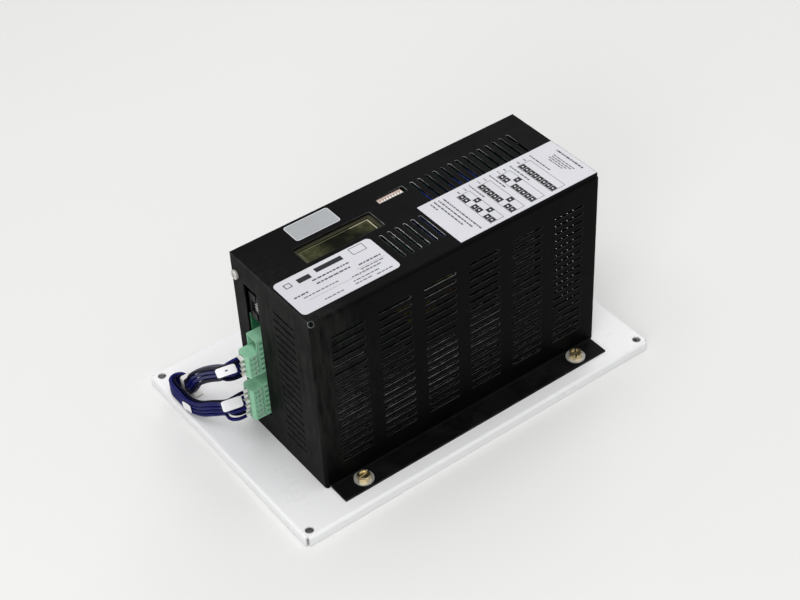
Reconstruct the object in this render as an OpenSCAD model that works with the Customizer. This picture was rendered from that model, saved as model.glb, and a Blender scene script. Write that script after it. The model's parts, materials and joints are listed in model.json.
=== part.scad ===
// Battery charger for an engine starting battery, on a white mounting plate.
// A slotted black sheet-metal cover and a rear panel enclose a circuit board.
// Pluggable terminal blocks stand out of the left side and carry a wire loom.
// Millimetres, +Z up, origin at the bottom centre of the mounting plate.

/* [Mounting plate] */
// Length of the plate, left to right
plate_w = 344; // [336:1:380]
// Depth of the plate, front to back
plate_d = 229; // [220:1:260]
// Thickness of the plate's sheet
plate_t = 1.6; // [1.2:0.1:2]
// Height of the plate with its folded edges
plate_h = 8.6; // [8:0.1:14]
// Outside radius of the plate's folds
plate_bend_r = 2.6; // [2.4:0.1:4]
// Diameter of the four corner holes
corner_hole_d = 7; // [5:0.1:8]
// Distance of a corner hole from both plate edges
corner_hole_inset = 7.5; // [7.4:0.1:12]

/* [Enclosure] */
// Length of the box, left to right
box_w = 270; // [262:1:290]
// Depth of the box, front to back
box_d = 104.5; // [103:0.5:112]
// Height of the box above the plate
box_h = 169; // [168:0.5:176]
// Thickness of the black sheet
sheet_t = 1.5; // [1.2:0.1:1.6]
// Outside radius of the black sheet's bends
bend_r = 3; // [2.6:0.1:3.4]
// Distance from the plate's left edge to the box
box_left = 40.9; // [40.5:0.1:46]
// Distance from the plate's front edge to the box
box_front = 32.3; // [28:0.1:40]
// Width of the two bottom flanges
flange_d = 19.6; // [18:0.1:22]
// How far each flange stops short of the box's ends
flange_inset = 4; // [3.5:0.5:8]
// Gap where the cover's sheet edges meet the panel
seam = 0.3; // [0.2:0.05:0.4]
// Depth of the rear panel's side and top returns
return_d = 12; // [11:0.5:13]

/* [Ventilation slots] */
// Width of a slot
slot_w = 2.4; // [2:0.1:3]
// Length of a slot in the front wall
front_slot_len = 29.4; // [24:0.1:32]
// Number of slot columns in the front wall
front_columns = 6; // [4:1:6]
// Distance between the front columns
front_pitch = 41.7; // [38:0.1:43]
// Number of slot rows in the front and end walls
slot_rows = 18; // [10:1:18]
// Distance between the rows
row_pitch = 7.4; // [6:0.1:7.8]
// Height of the lowest row
first_row_z = 21; // [18:0.5:26]
// Length of a slot in an end wall
side_slot_len = 28; // [20:0.5:32]
// Distance of the end wall slots from the front
side_slot_y = 23.4; // [18:0.1:28]
// Length of a slot in the top
top_slot_len = 31; // [24:0.5:31]
// Distance between the top slots
top_pitch = 7.3; // [6:0.1:7.4]
// Number of top slots beside the display
top_front_slots = 6; // [2:1:6]
// Left end of the top slots beside the display
top_front_x = 96.2; // [95:0.1:98]
// Front end of the top slots beside the display
top_front_y = 17.2; // [12:0.1:17.2]
// Number of top slots at the back
top_rear_slots = 14; // [8:1:14]
// Left end of the top slots at the back
top_rear_x = 152.6; // [150:0.1:156]
// Front end of the top slots at the back
top_rear_y = 54.4; // [50:0.1:56]

/* [Left opening and windows] */
// Distance of the terminal opening from the front
opening_y = 72; // [71:0.1:73]
// Width of the terminal opening
opening_d = 18; // [17.6:0.1:18.5]
// Lower edge of the terminal opening
opening_z = 22.4; // [20:0.1:23.5]
// Height of the terminal opening
opening_h = 126; // [100:0.5:130]
// Length of the display window
window_w = 70; // [66:0.5:74]
// Depth of the display window
window_d = 20; // [18:0.5:22]
// Centre of the display window from the box's left end
window_x = 71.6; // [68:0.1:72.5]
// Centre of the display window from the front
window_y = 66.6; // [66:0.1:66.8]
// Length of the switch window
switch_window_w = 26.5; // [25:0.1:28]
// Depth of the switch window
switch_window_d = 7; // [6:0.1:8]
// Centre of the switch window from the box's left end
switch_x = 131.6; // [130:0.1:133]
// Centre of the switch window from the front
switch_y = 82.7; // [82:0.1:83]

/* [Fasteners] */
// Distance of the flange screws from the box's ends
flange_screw_inset = 28; // [20:0.5:40]
// Thread diameter of the flange screws
flange_screw_d = 5.8; // [5:0.1:6.2]
// Width of the flange screws' hexagon
flange_hex = 10; // [9:0.1:11]
// Height of the flange screws' head
flange_head_h = 4.2; // [3.6:0.1:5]
// Outside diameter of the flat washers
washer_d = 16; // [14:0.1:17]
// Thickness of the flat washers
washer_t = 1.2; // [0.8:0.1:1.6]
// Thread diameter of the cover screws
cover_screw_d = 3.8; // [3:0.1:4]
// Head diameter of the cover screws
cover_head_d = 8; // [7:0.1:8.4]
// Head height of the cover screws
cover_head_h = 2.7; // [2:0.1:3]
// Distance of the cover screws from the box's back
cover_screw_back = 5.2; // [5.1:0.1:6]
// Height of the lower cover screws
cover_screw_low = 20; // [12:0.5:24]
// Distance of the upper cover screws below the box's top
cover_screw_drop = 18.2; // [16:0.1:22]

/* [Circuit board] */
// Distance of the board's upper edge below the box's top
board_drop = 6; // [5.4:0.1:8]
// Thickness of the board
board_t = 1.6; // [1.4:0.1:1.8]
// Gap between the board and the end walls
board_gap = 0.5; // [0.4:0.1:1.2]
// Height of the board's lower edge over the plate
board_z = 8; // [6:0.5:8]
// Length of the hexagonal standoffs behind the board
standoff_len = 13; // [12.6:0.1:13.2]
// Width of the standoffs' hexagon
standoff_hex = 6; // [5:0.1:7]
// Thread diameter of the board screws
board_screw_d = 3; // [2.5:0.1:3.4]
// Distance of the standoffs from the board's edges
standoff_inset = 7; // [6:0.5:7.5]
// Depth of the notch in the circuit board's end, above the terminals
notch_w = 3; // [1.5:0.5:4]
// Height of that notch
notch_h = 31; // [20:0.5:34]
// Drop of the notch's upper edge below the board's top
notch_drop = 14; // [12:0.5:20]

/* [Terminal blocks] */
// Distance between the poles
pole_pitch = 5.08; // [4.9:0.01:5.08]
// Number of poles of the upper plug
upper_plug_poles = 4; // [2:1:5]
// Number of poles of the upper header
upper_header_poles = 6; // [6:1:6]
// Number of poles of the lower plug and header
lower_poles = 6; // [4:1:6]
// Height of the upper block's lowest pole
upper_pole_z = 72.3; // [70:0.1:74]
// Height of the lower block's lowest pole
lower_pole_z = 27.8; // [27.8:0.1:30]
// How far the plugs stand out of the box
plug_out = 13.7; // [13:0.1:15]
// Depth of a plug, from its screws to its back
plug_d = 14; // [13:0.1:14]
// Head diameter of the clamp screws
clamp_screw_d = 2.9; // [2.4:0.1:3]

/* [Display] */
// Length of the display board
display_board_w = 80; // [78:0.5:84]
// Depth of the display board
display_board_d = 36; // [34:0.5:36]
// Length of the display's metal frame
bezel_w = 71.2; // [68:0.1:73]
// Depth of the display's metal frame
bezel_d = 25.2; // [24:0.1:26]
// Height of the display's metal frame
bezel_h = 7; // [5:0.1:7.5]
// Length of the display's glass that shows
glass_w = 64.5; // [60:0.1:66]
// Depth of the display's glass that shows
glass_d = 16; // [14:0.1:17]
// Gap between the display's frame and the top sheet
bezel_gap = 1.2; // [0.6:0.1:1.6]

/* [Setting switch] */
// Number of sliders
slider_count = 8; // [8:1:8]
// Distance between the sliders
slider_pitch = 2.54; // [2.4:0.01:2.6]
// Width of a slider
slider_w = 1.3; // [1:0.05:1.4]
// Length of a slider
slider_len = 2; // [1.6:0.05:2.2]
// Travel of a slider
slider_travel = 1.8; // [1.4:0.05:2]
// Gap of a slider in its slot
slider_gap = 0.1; // [0.06:0.01:0.12]

/* [Parts on the board] */
// Width of the transformer's core
core_w = 42; // [38:0.5:43]
// Height of the transformer's core from the board
core_h = 42; // [38:0.5:46]
// Length of the transformer's coil, up and down
coil_d = 28; // [24:0.5:30]
// Depth of the heat sink from the board
heat_d = 34; // [28:0.5:36]
// Width of the heat sink over its fins
heat_w = 40; // [32:0.5:42]
// Height of the heat sink
heat_h = 88; // [80:1:90]
// Number of fins
heat_fins = 7; // [4:1:7]
// Diameter of the large capacitors
bulk_cap_d = 30; // [25:0.5:32]
// Height of the large capacitors
bulk_cap_h = 45; // [35:1:50]
// Distance between the large capacitors
bulk_cap_pitch = 40; // [36:0.5:42]
// Diameter of the small capacitors
output_cap_d = 12.5; // [10:0.5:13]
// Height of the small capacitors
output_cap_h = 25; // [16:1:30]
// Outside diameter of the choke's ring
choke_d = 32; // [28:0.5:33]
// Length of a relay
relay_w = 19; // [16:0.5:20]
// Width of a relay
relay_d = 15.4; // [12:0.1:16]
// Height of a relay
relay_h = 15.2; // [12:0.1:16]
// Length of the fuse
fuse_len = 31.8; // [28:0.1:33]
// Diameter of the fuse
fuse_d = 6.3; // [5:0.1:6.4]

/* [Labels] */
// Thickness of the stuck-on labels
label_t = 0.2; // [0.1:0.02:0.3]
// Distance of the rating label from the box's left end
rating_x = 2.2; // [0.6:0.1:3]
// Distance of the rating label from the front
rating_y = 10.4; // [4:0.1:12]
// Length of the rating label
rating_w = 86; // [80:0.5:90]
// Depth of the rating label
rating_d = 41.6; // [36:0.1:42]
// Distance of the small silver label from the box's left end
badge_x = 45; // [40:0.1:50]
// Distance of the small silver label from the front
badge_y = 81.9; // [81:0.1:83]
// Length of the small silver label
badge_w = 40.2; // [34:0.1:42]
// Depth of the small silver label
badge_d = 19.8; // [16:0.1:20]
// Length of the settings label
settings_w = 132.4; // [126:0.1:133]
// Depth of the settings label
settings_d = 53.6; // [50:0.1:54]

/* [Wire loom] */
// Outside diameter of a wire
wire_d = 2.9; // [2.4:0.1:3]
// Distance between the wires' centres in the loom
wire_pitch = 3.3; // [3.1:0.05:3.5]
// Length of the white collars at the plugs
collar_len = 3.2; // [2.4:0.1:4]
// Side of the square stick-on tie mount
tie_mount_w = 19; // [16:0.5:20]
// Width of the cable tie
tie_w = 4.6; // [3.4:0.1:5]

/* [Hidden] */
$fn = 48;

// Small working gap round shanks, pins and pieces that slip together
slip = 0.1;
// Length of cut beyond a face
over = 1;
// Box frame: left, front and bottom corner of the box
box_pos = [-plate_w / 2 + box_left, -plate_d / 2 + box_front, plate_h];
inner_r = bend_r - sheet_t;
relief = 0.5;
// Rear panel limits inside the cover
panel_x0 = sheet_t + seam;
panel_x1 = box_w - sheet_t - seam;
panel_top = box_h - sheet_t - seam;
// Board limits
board_back = box_d - sheet_t - standoff_len;
board_front = board_back - board_t;
board_x0 = sheet_t + board_gap;
board_x1 = box_w - sheet_t - board_gap;
board_w = board_x1 - board_x0;
board_top = box_h - board_drop;
board_h = board_top - board_z;

black_sheet = [0.07, 0.07, 0.075];
white_paint = [0.93, 0.93, 0.94];
zinc = [0.74, 0.75, 0.76];
yellow_zinc = [0.80, 0.70, 0.36];
green_plastic = [0.42, 0.66, 0.52];
board_green = [0.05, 0.30, 0.14];
black_plastic = [0.06, 0.06, 0.06];
white_plastic = [0.90, 0.89, 0.87];
navy = [0.08, 0.08, 0.36];

module in_box() {
  translate(box_pos) children();
}

// A slot with round ends, centred, along X
module slot_2d(len, w) {
  square([len - w, w], center = true);
  for (s = [-1, 1]) translate([s * (len - w) / 2, 0]) circle(d = w);
}

// A rectangle with round corners, from its lower left corner
module round_rect(size, r) {
  translate([r, 0]) square([size[0] - 2 * r, size[1]]);
  translate([0, r]) square([size[0], size[1] - 2 * r]);
  for (x = [r, size[0] - r], y = [r, size[1] - r]) translate([x, y]) circle(r = r);
}

// Cross-section of a quarter bend of a sheet, in the first quadrant
module bend_2d(r, t) {
  intersection() {
    difference() {
      circle(r = r);
      circle(r = r - t);
    }
    square([r, r]);
  }
}

// Draws a profile of the YZ plane and pulls it along +X
module along_x(len) {
  rotate([90, 0, 90]) linear_extrude(len) children();
}

// Draws a profile of the XZ plane and pulls it along +Y
module along_y(len) {
  translate([0, len, 0]) rotate([90, 0, 0]) linear_extrude(len) children();
}

module hex_rod(flats, h) {
  cylinder(d = flats / cos(30), h = h, $fn = 6);
}

// Places of repeated pieces
function flange_screw_x() = [flange_screw_inset, box_w - flange_screw_inset];
function flange_screw_y() = [-flange_d / 2, box_d + flange_d / 2];
function cover_screw_z() = [cover_screw_low, box_h - cover_screw_drop];
function standoff_x() = [board_x0 + standoff_inset, box_w / 2, board_x1 - standoff_inset];
function standoff_z() = [board_z + standoff_inset, board_top - standoff_inset];
function row_z(i) = first_row_z + i * row_pitch;
function column_x(i) = box_w / 2 + (i - (front_columns - 1) / 2) * front_pitch;

// Mounting plate: a shallow pan with four folded edges and open corners
plate_flat_w = plate_w - 2 * plate_bend_r;
plate_flat_d = plate_d - 2 * plate_bend_r;
corner_gap = 0.3;

module plate_edge(len) {
  translate([-len / 2, 0, plate_h - plate_bend_r]) {
    along_x(len) bend_2d(plate_bend_r, plate_t);
  }
  translate([-len / 2, plate_bend_r - plate_t, 0]) {
    cube([len, plate_t, plate_h - plate_bend_r]);
  }
}

module mounting_plate() {
  color(white_paint) {
    difference() {
      union() {
        translate([-plate_flat_w / 2, -plate_flat_d / 2, plate_h - plate_t]) {
          cube([plate_flat_w, plate_flat_d, plate_t]);
        }
        for (a = [0, 180]) rotate([0, 0, a]) {
          translate([0, plate_flat_d / 2, 0]) plate_edge(plate_flat_w - 2 * corner_gap);
        }
        for (a = [90, 270]) rotate([0, 0, a]) {
          translate([0, plate_flat_w / 2, 0]) plate_edge(plate_flat_d - 2 * corner_gap);
        }
      }
      for (x = [-1, 1], y = [-1, 1]) {
        translate([
          x * (plate_w / 2 - corner_hole_inset),
          y * (plate_d / 2 - corner_hole_inset),
          plate_h - 2 * plate_t
        ]) cylinder(d = corner_hole_d, h = 3 * plate_t);
      }
      in_box() for (x = flange_screw_x(), y = flange_screw_y()) {
        translate([x, y, -2 * plate_t]) {
          cylinder(d = flange_screw_d + 2 * slip, h = 3 * plate_t);
        }
      }
    }
  }
}

// Cover: one sheet, with the front wall at its middle and its top, ends and
// bottom flange folded from it
module front_wall_2d() {
  difference() {
    translate([bend_r, bend_r]) square([box_w - 2 * bend_r, box_h - 2 * bend_r]);
    for (c = [0 : front_columns - 1], i = [0 : slot_rows - 1]) {
      translate([column_x(c), row_z(i)]) slot_2d(front_slot_len, slot_w);
    }
  }
}

module end_wall_2d(with_opening) {
  difference() {
    translate([bend_r, seam]) square([box_d - bend_r, box_h - sheet_t - 2 * seam]);
    for (i = [0 : slot_rows - 1]) {
      translate([side_slot_y + side_slot_len / 2, row_z(i)]) {
        slot_2d(side_slot_len, slot_w);
      }
    }
    for (z = cover_screw_z()) {
      translate([box_d - cover_screw_back, z]) circle(d = cover_screw_d + 4 * slip);
    }
    if (with_opening) translate([opening_y, opening_z]) {
      round_rect([opening_d, opening_h], 1);
    }
  }
}

module top_2d() {
  difference() {
    translate([0, bend_r]) square([box_w, box_d - bend_r]);
    for (i = [0 : top_front_slots - 1]) {
      translate([top_front_x + i * top_pitch, top_front_y + top_slot_len / 2]) {
        rotate([0, 0, 90]) slot_2d(top_slot_len, slot_w);
      }
    }
    for (i = [0 : top_rear_slots - 1]) {
      translate([top_rear_x + i * top_pitch, top_rear_y + top_slot_len / 2]) {
        rotate([0, 0, 90]) slot_2d(top_slot_len, slot_w);
      }
    }
    translate([window_x - window_w / 2, window_y - window_d / 2]) {
      square([window_w, window_d]);
    }
    translate([switch_x - switch_window_w / 2, switch_y - switch_window_d / 2]) {
      square([switch_window_w, switch_window_d]);
    }
  }
}

// Bottom bend and flange that runs away from the wall, towards -Y
module flange() {
  len = box_w - 2 * flange_inset;
  difference() {
    translate([flange_inset, 0, 0]) {
      translate([0, -inner_r, bend_r]) mirror([0, 0, 1]) along_x(len) {
        bend_2d(bend_r, sheet_t);
      }
      translate([0, -flange_d, 0]) cube([len, flange_d - inner_r, sheet_t]);
    }
    for (x = flange_screw_x()) translate([x, -flange_d / 2, -1]) {
      cylinder(d = flange_screw_d + 12 * slip, h = sheet_t + 2);
    }
  }
}

module cover() {
  end_h = box_h - bend_r - relief - seam;
  color(black_sheet) in_box() {
    along_y(sheet_t) front_wall_2d();
    translate([bend_r + relief, bend_r, box_h - bend_r]) mirror([0, 1, 0]) {
      along_x(box_w - 2 * (bend_r + relief)) bend_2d(bend_r, sheet_t);
    }
    translate([0, 0, box_h - sheet_t]) linear_extrude(sheet_t) top_2d();
    translate([bend_r, bend_r, seam]) linear_extrude(end_h) {
      rotate([0, 0, 180]) bend_2d(bend_r, sheet_t);
    }
    translate([box_w - bend_r, bend_r, seam]) linear_extrude(end_h) {
      rotate([0, 0, 270]) bend_2d(bend_r, sheet_t);
    }
    along_x(sheet_t) end_wall_2d(true);
    translate([box_w - sheet_t, 0, 0]) along_x(sheet_t) end_wall_2d(false);
    flange();
  }
}

// Rear panel: rear wall with side and top returns and the rear flange
module rear_panel() {
  wall_h = panel_top - bend_r;
  return_len = return_d - bend_r;
  color(black_sheet) in_box() {
    difference() {
      union() {
        translate([panel_x0 + bend_r, box_d - sheet_t, bend_r]) {
          cube([panel_x1 - panel_x0 - 2 * bend_r, sheet_t, wall_h - bend_r]);
        }
        translate([panel_x0 + bend_r, box_d - bend_r, seam]) {
          linear_extrude(wall_h - relief - seam) rotate([0, 0, 90]) {
            bend_2d(bend_r, sheet_t);
          }
        }
        translate([panel_x1 - bend_r, box_d - bend_r, seam]) {
          linear_extrude(wall_h - relief - seam) bend_2d(bend_r, sheet_t);
        }
        for (x = [panel_x0, panel_x1 - sheet_t]) {
          translate([x, box_d - return_d, seam]) {
            cube([sheet_t, return_len, wall_h - relief - seam]);
          }
        }
        translate([panel_x0 + bend_r + relief, box_d - bend_r, panel_top - bend_r]) {
          along_x(panel_x1 - panel_x0 - 2 * (bend_r + relief)) {
            bend_2d(bend_r, sheet_t);
          }
          translate([0, -return_len, bend_r - sheet_t]) {
            cube([panel_x1 - panel_x0 - 2 * (bend_r + relief), return_len, sheet_t]);
          }
        }
      }
      for (x = standoff_x(), z = standoff_z()) {
        translate([x, box_d - 2 * sheet_t, z]) rotate([-90, 0, 0]) {
          cylinder(d = board_screw_d + 4 * slip, h = 3 * sheet_t);
        }
      }
      for (z = cover_screw_z()) {
        translate([-1, box_d - cover_screw_back, z]) rotate([0, 90, 0]) {
          cylinder(d = cover_screw_d + 2 * slip, h = box_w + 2);
        }
      }
    }
    translate([0, box_d, 0]) mirror([0, 1, 0]) flange();
  }
}

// Fasteners
module flange_screw() {
  difference() {
    intersection() {
      hex_rod(flange_hex, flange_head_h);
      cylinder(d1 = flange_hex * 1.6, d2 = flange_hex * 1.02, h = flange_head_h);
    }
    translate([0, 0, flange_head_h * 0.72]) {
      cylinder(d = flange_hex * 0.66, h = flange_head_h);
    }
    translate([-flange_hex, -0.7, flange_head_h * 0.5]) {
      cube([2 * flange_hex, 1.4, flange_head_h]);
    }
  }
  translate([0, 0, -7.4]) cylinder(d = flange_screw_d, h = 7.4);
  translate([0, 0, -8.6]) cylinder(d1 = flange_screw_d * 0.7, d2 = flange_screw_d, h = 1.2);
}

module flange_screws() {
  color(yellow_zinc) in_box() {
    for (x = flange_screw_x(), y = flange_screw_y()) {
      translate([x, y, sheet_t + washer_t]) rotate([0, 0, x + y]) flange_screw();
    }
  }
}

module flange_washers() {
  color(zinc) in_box() for (x = flange_screw_x(), y = flange_screw_y()) {
    translate([x, y, sheet_t]) linear_extrude(washer_t) difference() {
      circle(d = washer_d);
      circle(d = flange_screw_d + 6 * slip);
    }
  }
}

// Pan head screw along +Z, head above zero, with a cross recess
module pan_screw(d, head_d, head_h, len) {
  difference() {
    rotate_extrude() intersection() {
      translate([0, -head_d]) scale(1) circle(r = head_d + head_h);
      union() {
        square([head_d / 2 - head_h / 2, head_h]);
        square([head_d / 2, head_h / 2]);
        translate([head_d / 2 - head_h / 2, head_h / 2]) circle(r = head_h / 2);
      }
      square([head_d, head_h]);
    }
    for (a = [0, 90]) rotate([0, 0, a]) {
      translate([-head_d * 0.28, -head_d * 0.06, head_h * 0.45]) {
        cube([head_d * 0.56, head_d * 0.12, head_h]);
      }
    }
  }
  translate([0, 0, -len]) cylinder(d = d, h = len);
}

module cover_screws() {
  color(zinc) in_box() for (z = cover_screw_z()) {
    translate([0, box_d - cover_screw_back, z]) rotate([0, -90, 0]) {
      pan_screw(cover_screw_d, cover_head_d, cover_head_h, 7);
    }
    translate([box_w, box_d - cover_screw_back, z]) rotate([0, 90, 0]) {
      pan_screw(cover_screw_d, cover_head_d, cover_head_h, 7);
    }
  }
}

// Main circuit board, with its mounting holes and the headers' lead holes
module main_board() {
  color(board_green) in_box() {
    translate([0, board_front, 0]) along_y(board_t) difference() {
      translate([board_x0, board_z]) square([board_w, board_h]);
      for (x = standoff_x(), z = standoff_z()) {
        translate([x, z]) circle(d = board_screw_d + 4 * slip);
      }
      for (z = pole_heights()) translate([pin_leg_x, z]) square(pin_w + 2 * slip, center = true);
      translate([board_x0 - 1, board_top - notch_drop - notch_h]) {
        square([notch_w + 1, notch_h]);
      }
    }
  }
}

module board_standoffs() {
  color(zinc) in_box() for (x = standoff_x(), z = standoff_z()) {
    translate([x, board_back, z]) rotate([-90, 0, 0]) difference() {
      hex_rod(standoff_hex, standoff_len);
      translate([0, 0, -1]) cylinder(d = board_screw_d + 2 * slip, h = standoff_len + 2);
    }
  }
}

module board_screws() {
  color(zinc) in_box() for (x = standoff_x(), z = standoff_z()) {
    translate([x, board_front, z]) rotate([90, 0, 0]) {
      pan_screw(board_screw_d, board_screw_d * 1.9, board_screw_d * 0.7, board_t + 4.5);
    }
  }
}

module standoff_screws() {
  color(zinc) in_box() for (x = standoff_x(), z = standoff_z()) {
    translate([x, box_d, z]) rotate([-90, 0, 0]) {
      pan_screw(board_screw_d, board_screw_d * 1.9, board_screw_d * 0.7, sheet_t + 4.5);
    }
  }
}

// Display: board, metal frame, glass and what holds them under the top sheet
bezel_top = box_h - sheet_t - bezel_gap;
display_top = bezel_top - bezel_h;
display_board_t = 1.6;
display_screw_d = 2.4;
display_post_d = 4.6;
display_edge = 2.5;
frame_lip = 0.8;

function display_x() = [for (s = [-1, 1]) window_x + s * (display_board_w / 2 - display_edge)];
function display_y() = [for (s = [-1, 1]) window_y + s * (display_board_d / 2 - display_edge)];

module display_board() {
  color(board_green) in_box() translate([0, 0, display_top - display_board_t]) {
    linear_extrude(display_board_t) difference() {
      translate([window_x - display_board_w / 2, window_y - display_board_d / 2]) {
        square([display_board_w, display_board_d]);
      }
      for (x = display_x(), y = display_y()) translate([x, y]) {
        circle(d = display_screw_d + 2 * slip);
      }
    }
  }
}

module display_bezel() {
  color(black_plastic) in_box() translate([window_x, window_y, display_top]) {
    difference() {
      translate([-bezel_w / 2, -bezel_d / 2, 0]) cube([bezel_w, bezel_d, bezel_h]);
      translate([-bezel_w / 2 + frame_lip, -bezel_d / 2 + frame_lip, -1]) {
        cube([bezel_w - 2 * frame_lip, bezel_d - 2 * frame_lip, bezel_h + 1 - frame_lip]);
      }
      translate([-glass_w / 2, -glass_d / 2, 0]) cube([glass_w, glass_d, bezel_h + 1]);
    }
  }
}

module display_glass() {
  inset = frame_lip + slip;
  color([0.24, 0.27, 0.14]) in_box() translate([window_x, window_y, display_top]) {
    translate([-bezel_w / 2 + inset, -bezel_d / 2 + inset, 0]) {
      cube([bezel_w - 2 * inset, bezel_d - 2 * inset, bezel_h - frame_lip - slip / 2]);
    }
  }
}

module display_standoffs() {
  color(zinc) in_box() for (x = display_x(), y = display_y()) {
    translate([x, y, display_top]) linear_extrude(box_h - sheet_t - display_top) {
      difference() {
        circle(d = display_post_d);
        circle(d = display_screw_d + 2 * slip);
      }
    }
  }
}

module display_screws() {
  color(zinc) in_box() for (x = display_x(), y = display_y()) {
    translate([x, y, display_top - display_board_t]) rotate([180, 0, 0]) {
      pan_screw(display_screw_d, display_screw_d * 1.9, display_screw_d * 0.7, display_board_t + 4);
    }
  }
}

// Ribbon cable from the display's socket down to the main board's socket
ribbon_w = 20.3;
ribbon_t = 1;
ribbon_turn = 3;
ribbon_drop = 38;
socket_d = 5;
socket_h = 6;
socket_w = ribbon_w + 2;
ribbon_x = window_x - display_board_w / 2 + 12;
ribbon_y = window_y + display_board_d / 2 - 2 * display_edge - socket_d / 2;
ribbon_top = display_top - display_board_t - socket_h;
ribbon_end = board_front - socket_h;
ribbon_low = ribbon_top - ribbon_drop;

module display_socket() {
  color(black_plastic) in_box() {
    translate([ribbon_x - 1, ribbon_y - socket_d / 2, ribbon_top]) {
      cube([socket_w, socket_d, socket_h]);
    }
  }
}

module ribbon_socket() {
  color(black_plastic) in_box() {
    translate([ribbon_x - 1, ribbon_end, ribbon_low - socket_d / 2]) {
      cube([socket_w, socket_h, socket_d]);
    }
  }
}

module ribbon_cable() {
  turn_y = ribbon_y + ribbon_t / 2 + ribbon_turn;
  turn_z = ribbon_low + ribbon_t / 2 + ribbon_turn;
  color([0.55, 0.56, 0.58]) in_box() translate([ribbon_x, 0, 0]) along_x(ribbon_w) {
    translate([ribbon_y - ribbon_t / 2, turn_z]) square([ribbon_t, ribbon_top - turn_z]);
    translate([turn_y, turn_z]) rotate([0, 0, 180]) bend_2d(ribbon_turn + ribbon_t, ribbon_t);
    translate([turn_y, ribbon_low - ribbon_t / 2]) square([ribbon_end - turn_y, ribbon_t]);
  }
}

// Setting switch: a housing on the board's edge and eight sliders
switch_len = slider_count * slider_pitch + 2.2;
switch_d = 9.6;
switch_h = 7.4;
switch_top = box_h - sheet_t - 0.6;
slot_depth = 2.2;
slot_len = slider_len + slider_travel + 2 * slider_gap;
slider_rise = 0.9;

function slider_x(i) = switch_x + (i - (slider_count - 1) / 2) * slider_pitch;

module switch_housing() {
  color(white_plastic) in_box() difference() {
    translate([switch_x - switch_len / 2, board_front - switch_d, switch_top - switch_h]) {
      cube([switch_len, switch_d, switch_h]);
    }
    for (i = [0 : slider_count - 1]) {
      translate([
        slider_x(i) - slider_w / 2 - slider_gap,
        switch_y - slot_len / 2,
        switch_top - slot_depth
      ]) cube([slider_w + 2 * slider_gap, slot_len, slot_depth + 1]);
    }
  }
}

// One slider, at the front end of its slot
module slider(i) {
  color(white_plastic) in_box() translate([
    slider_x(i) - slider_w / 2,
    switch_y - slot_len / 2 + slider_gap,
    switch_top - slot_depth + slider_gap
  ]) cube([slider_w, slider_len, slot_depth - slider_gap + slider_rise]);
}

// Pluggable terminal blocks: headers soldered to the board, plugs pushed into them
clamp_x = -6.4;
clamp_len = 5.2;
clamp_w = 3.6;
clamp_d = 4.4;
collar_x = -4;
block_margin = 0.6;
header_wall = 1;
header_x0 = collar_x + slip;
header_x1 = 8.5;
header_floor = 3.5;
header_foot = 2;
header_front = board_front - 13.4;
plug_fit = 0.5;
plug_back = board_front - 0.4;
plug_front = plug_back - plug_d;
plug_tip = header_x1 - header_floor - plug_fit;
wire_y = plug_front + 7;
pin_w = 1;
pin_x0 = clamp_x + clamp_len / 2 + 0.8;
pin_y = board_front - 6.4;
pin_leg_x = header_x1 + header_foot + pin_w / 2 + 2 * slip;

function upper_poles_z(n) = [for (i = [0 : n - 1]) upper_pole_z + i * pole_pitch];
function lower_poles_z(n) = [for (i = [0 : n - 1]) lower_pole_z + i * pole_pitch];
function pole_heights() = concat(upper_poles_z(upper_header_poles), lower_poles_z(lower_poles));
function plug_heights() = concat(upper_poles_z(upper_plug_poles), lower_poles_z(lower_poles));

// Shroud of a header: open towards -X, with a hole for each pin in its floor
module header(first_z, poles) {
  len = poles * pole_pitch + 2 * header_wall + 2 * block_margin;
  low = first_z - pole_pitch / 2 - header_wall - block_margin;
  depth = board_front - header_front;
  hole = pin_w + 2 * slip;
  color(green_plastic) in_box() difference() {
    union() {
      translate([header_x0, header_front, low]) cube([header_x1 - header_x0, depth, len]);
      translate([header_x1, pin_y - 2.6, low]) {
        cube([header_foot, board_front - pin_y + 2.6, len]);
      }
    }
    translate([header_x0 - 1, header_front + header_wall, low + header_wall]) {
      cube([
        header_x1 - header_floor - header_x0 + 1,
        depth - 2 * header_wall,
        len - 2 * header_wall
      ]);
    }
    for (i = [0 : poles - 1]) translate([0, 0, first_z + i * pole_pitch]) {
      translate([header_x1 - header_floor - 1, pin_y - hole / 2, -hole / 2]) {
        cube([header_floor + header_foot + 2, hole, hole]);
      }
      translate([header_x0 + 2.5, header_front - 1, -1]) cube([3.5, header_wall + 2, 2]);
    }
  }
}

module upper_header() {
  header(upper_pole_z, upper_header_poles);
}

module lower_header() {
  header(lower_pole_z, lower_poles);
}

// Bent pins: along X inside the shroud, then back through the board
module header_pins() {
  color([0.80, 0.78, 0.70]) in_box() for (z = pole_heights()) {
    translate([pin_x0, pin_y - pin_w / 2, z - pin_w / 2]) {
      cube([pin_leg_x + pin_w / 2 - pin_x0, pin_w, pin_w]);
    }
    translate([pin_leg_x - pin_w / 2, pin_y - pin_w / 2, z - pin_w / 2]) {
      cube([pin_w, board_back + 1.6 - pin_y + pin_w / 2, pin_w]);
    }
  }
}

// Outline of a plug seen from above, in the XY plane
module plug_2d() {
  nose_y0 = header_front + header_wall + plug_fit;
  nose_y1 = board_front - header_wall - plug_fit;
  polygon([
    [-plug_out, plug_front + 3.2],
    [-plug_out + 1.4, plug_front],
    [collar_x - 0.8, plug_front],
    [collar_x, plug_front + 1],
    [collar_x, nose_y0],
    [plug_tip, nose_y0],
    [plug_tip, nose_y1],
    [collar_x, nose_y1],
    [collar_x, plug_back],
    [-plug_out + 2, plug_back],
    [-plug_out, plug_back - 2]
  ]);
}

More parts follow.
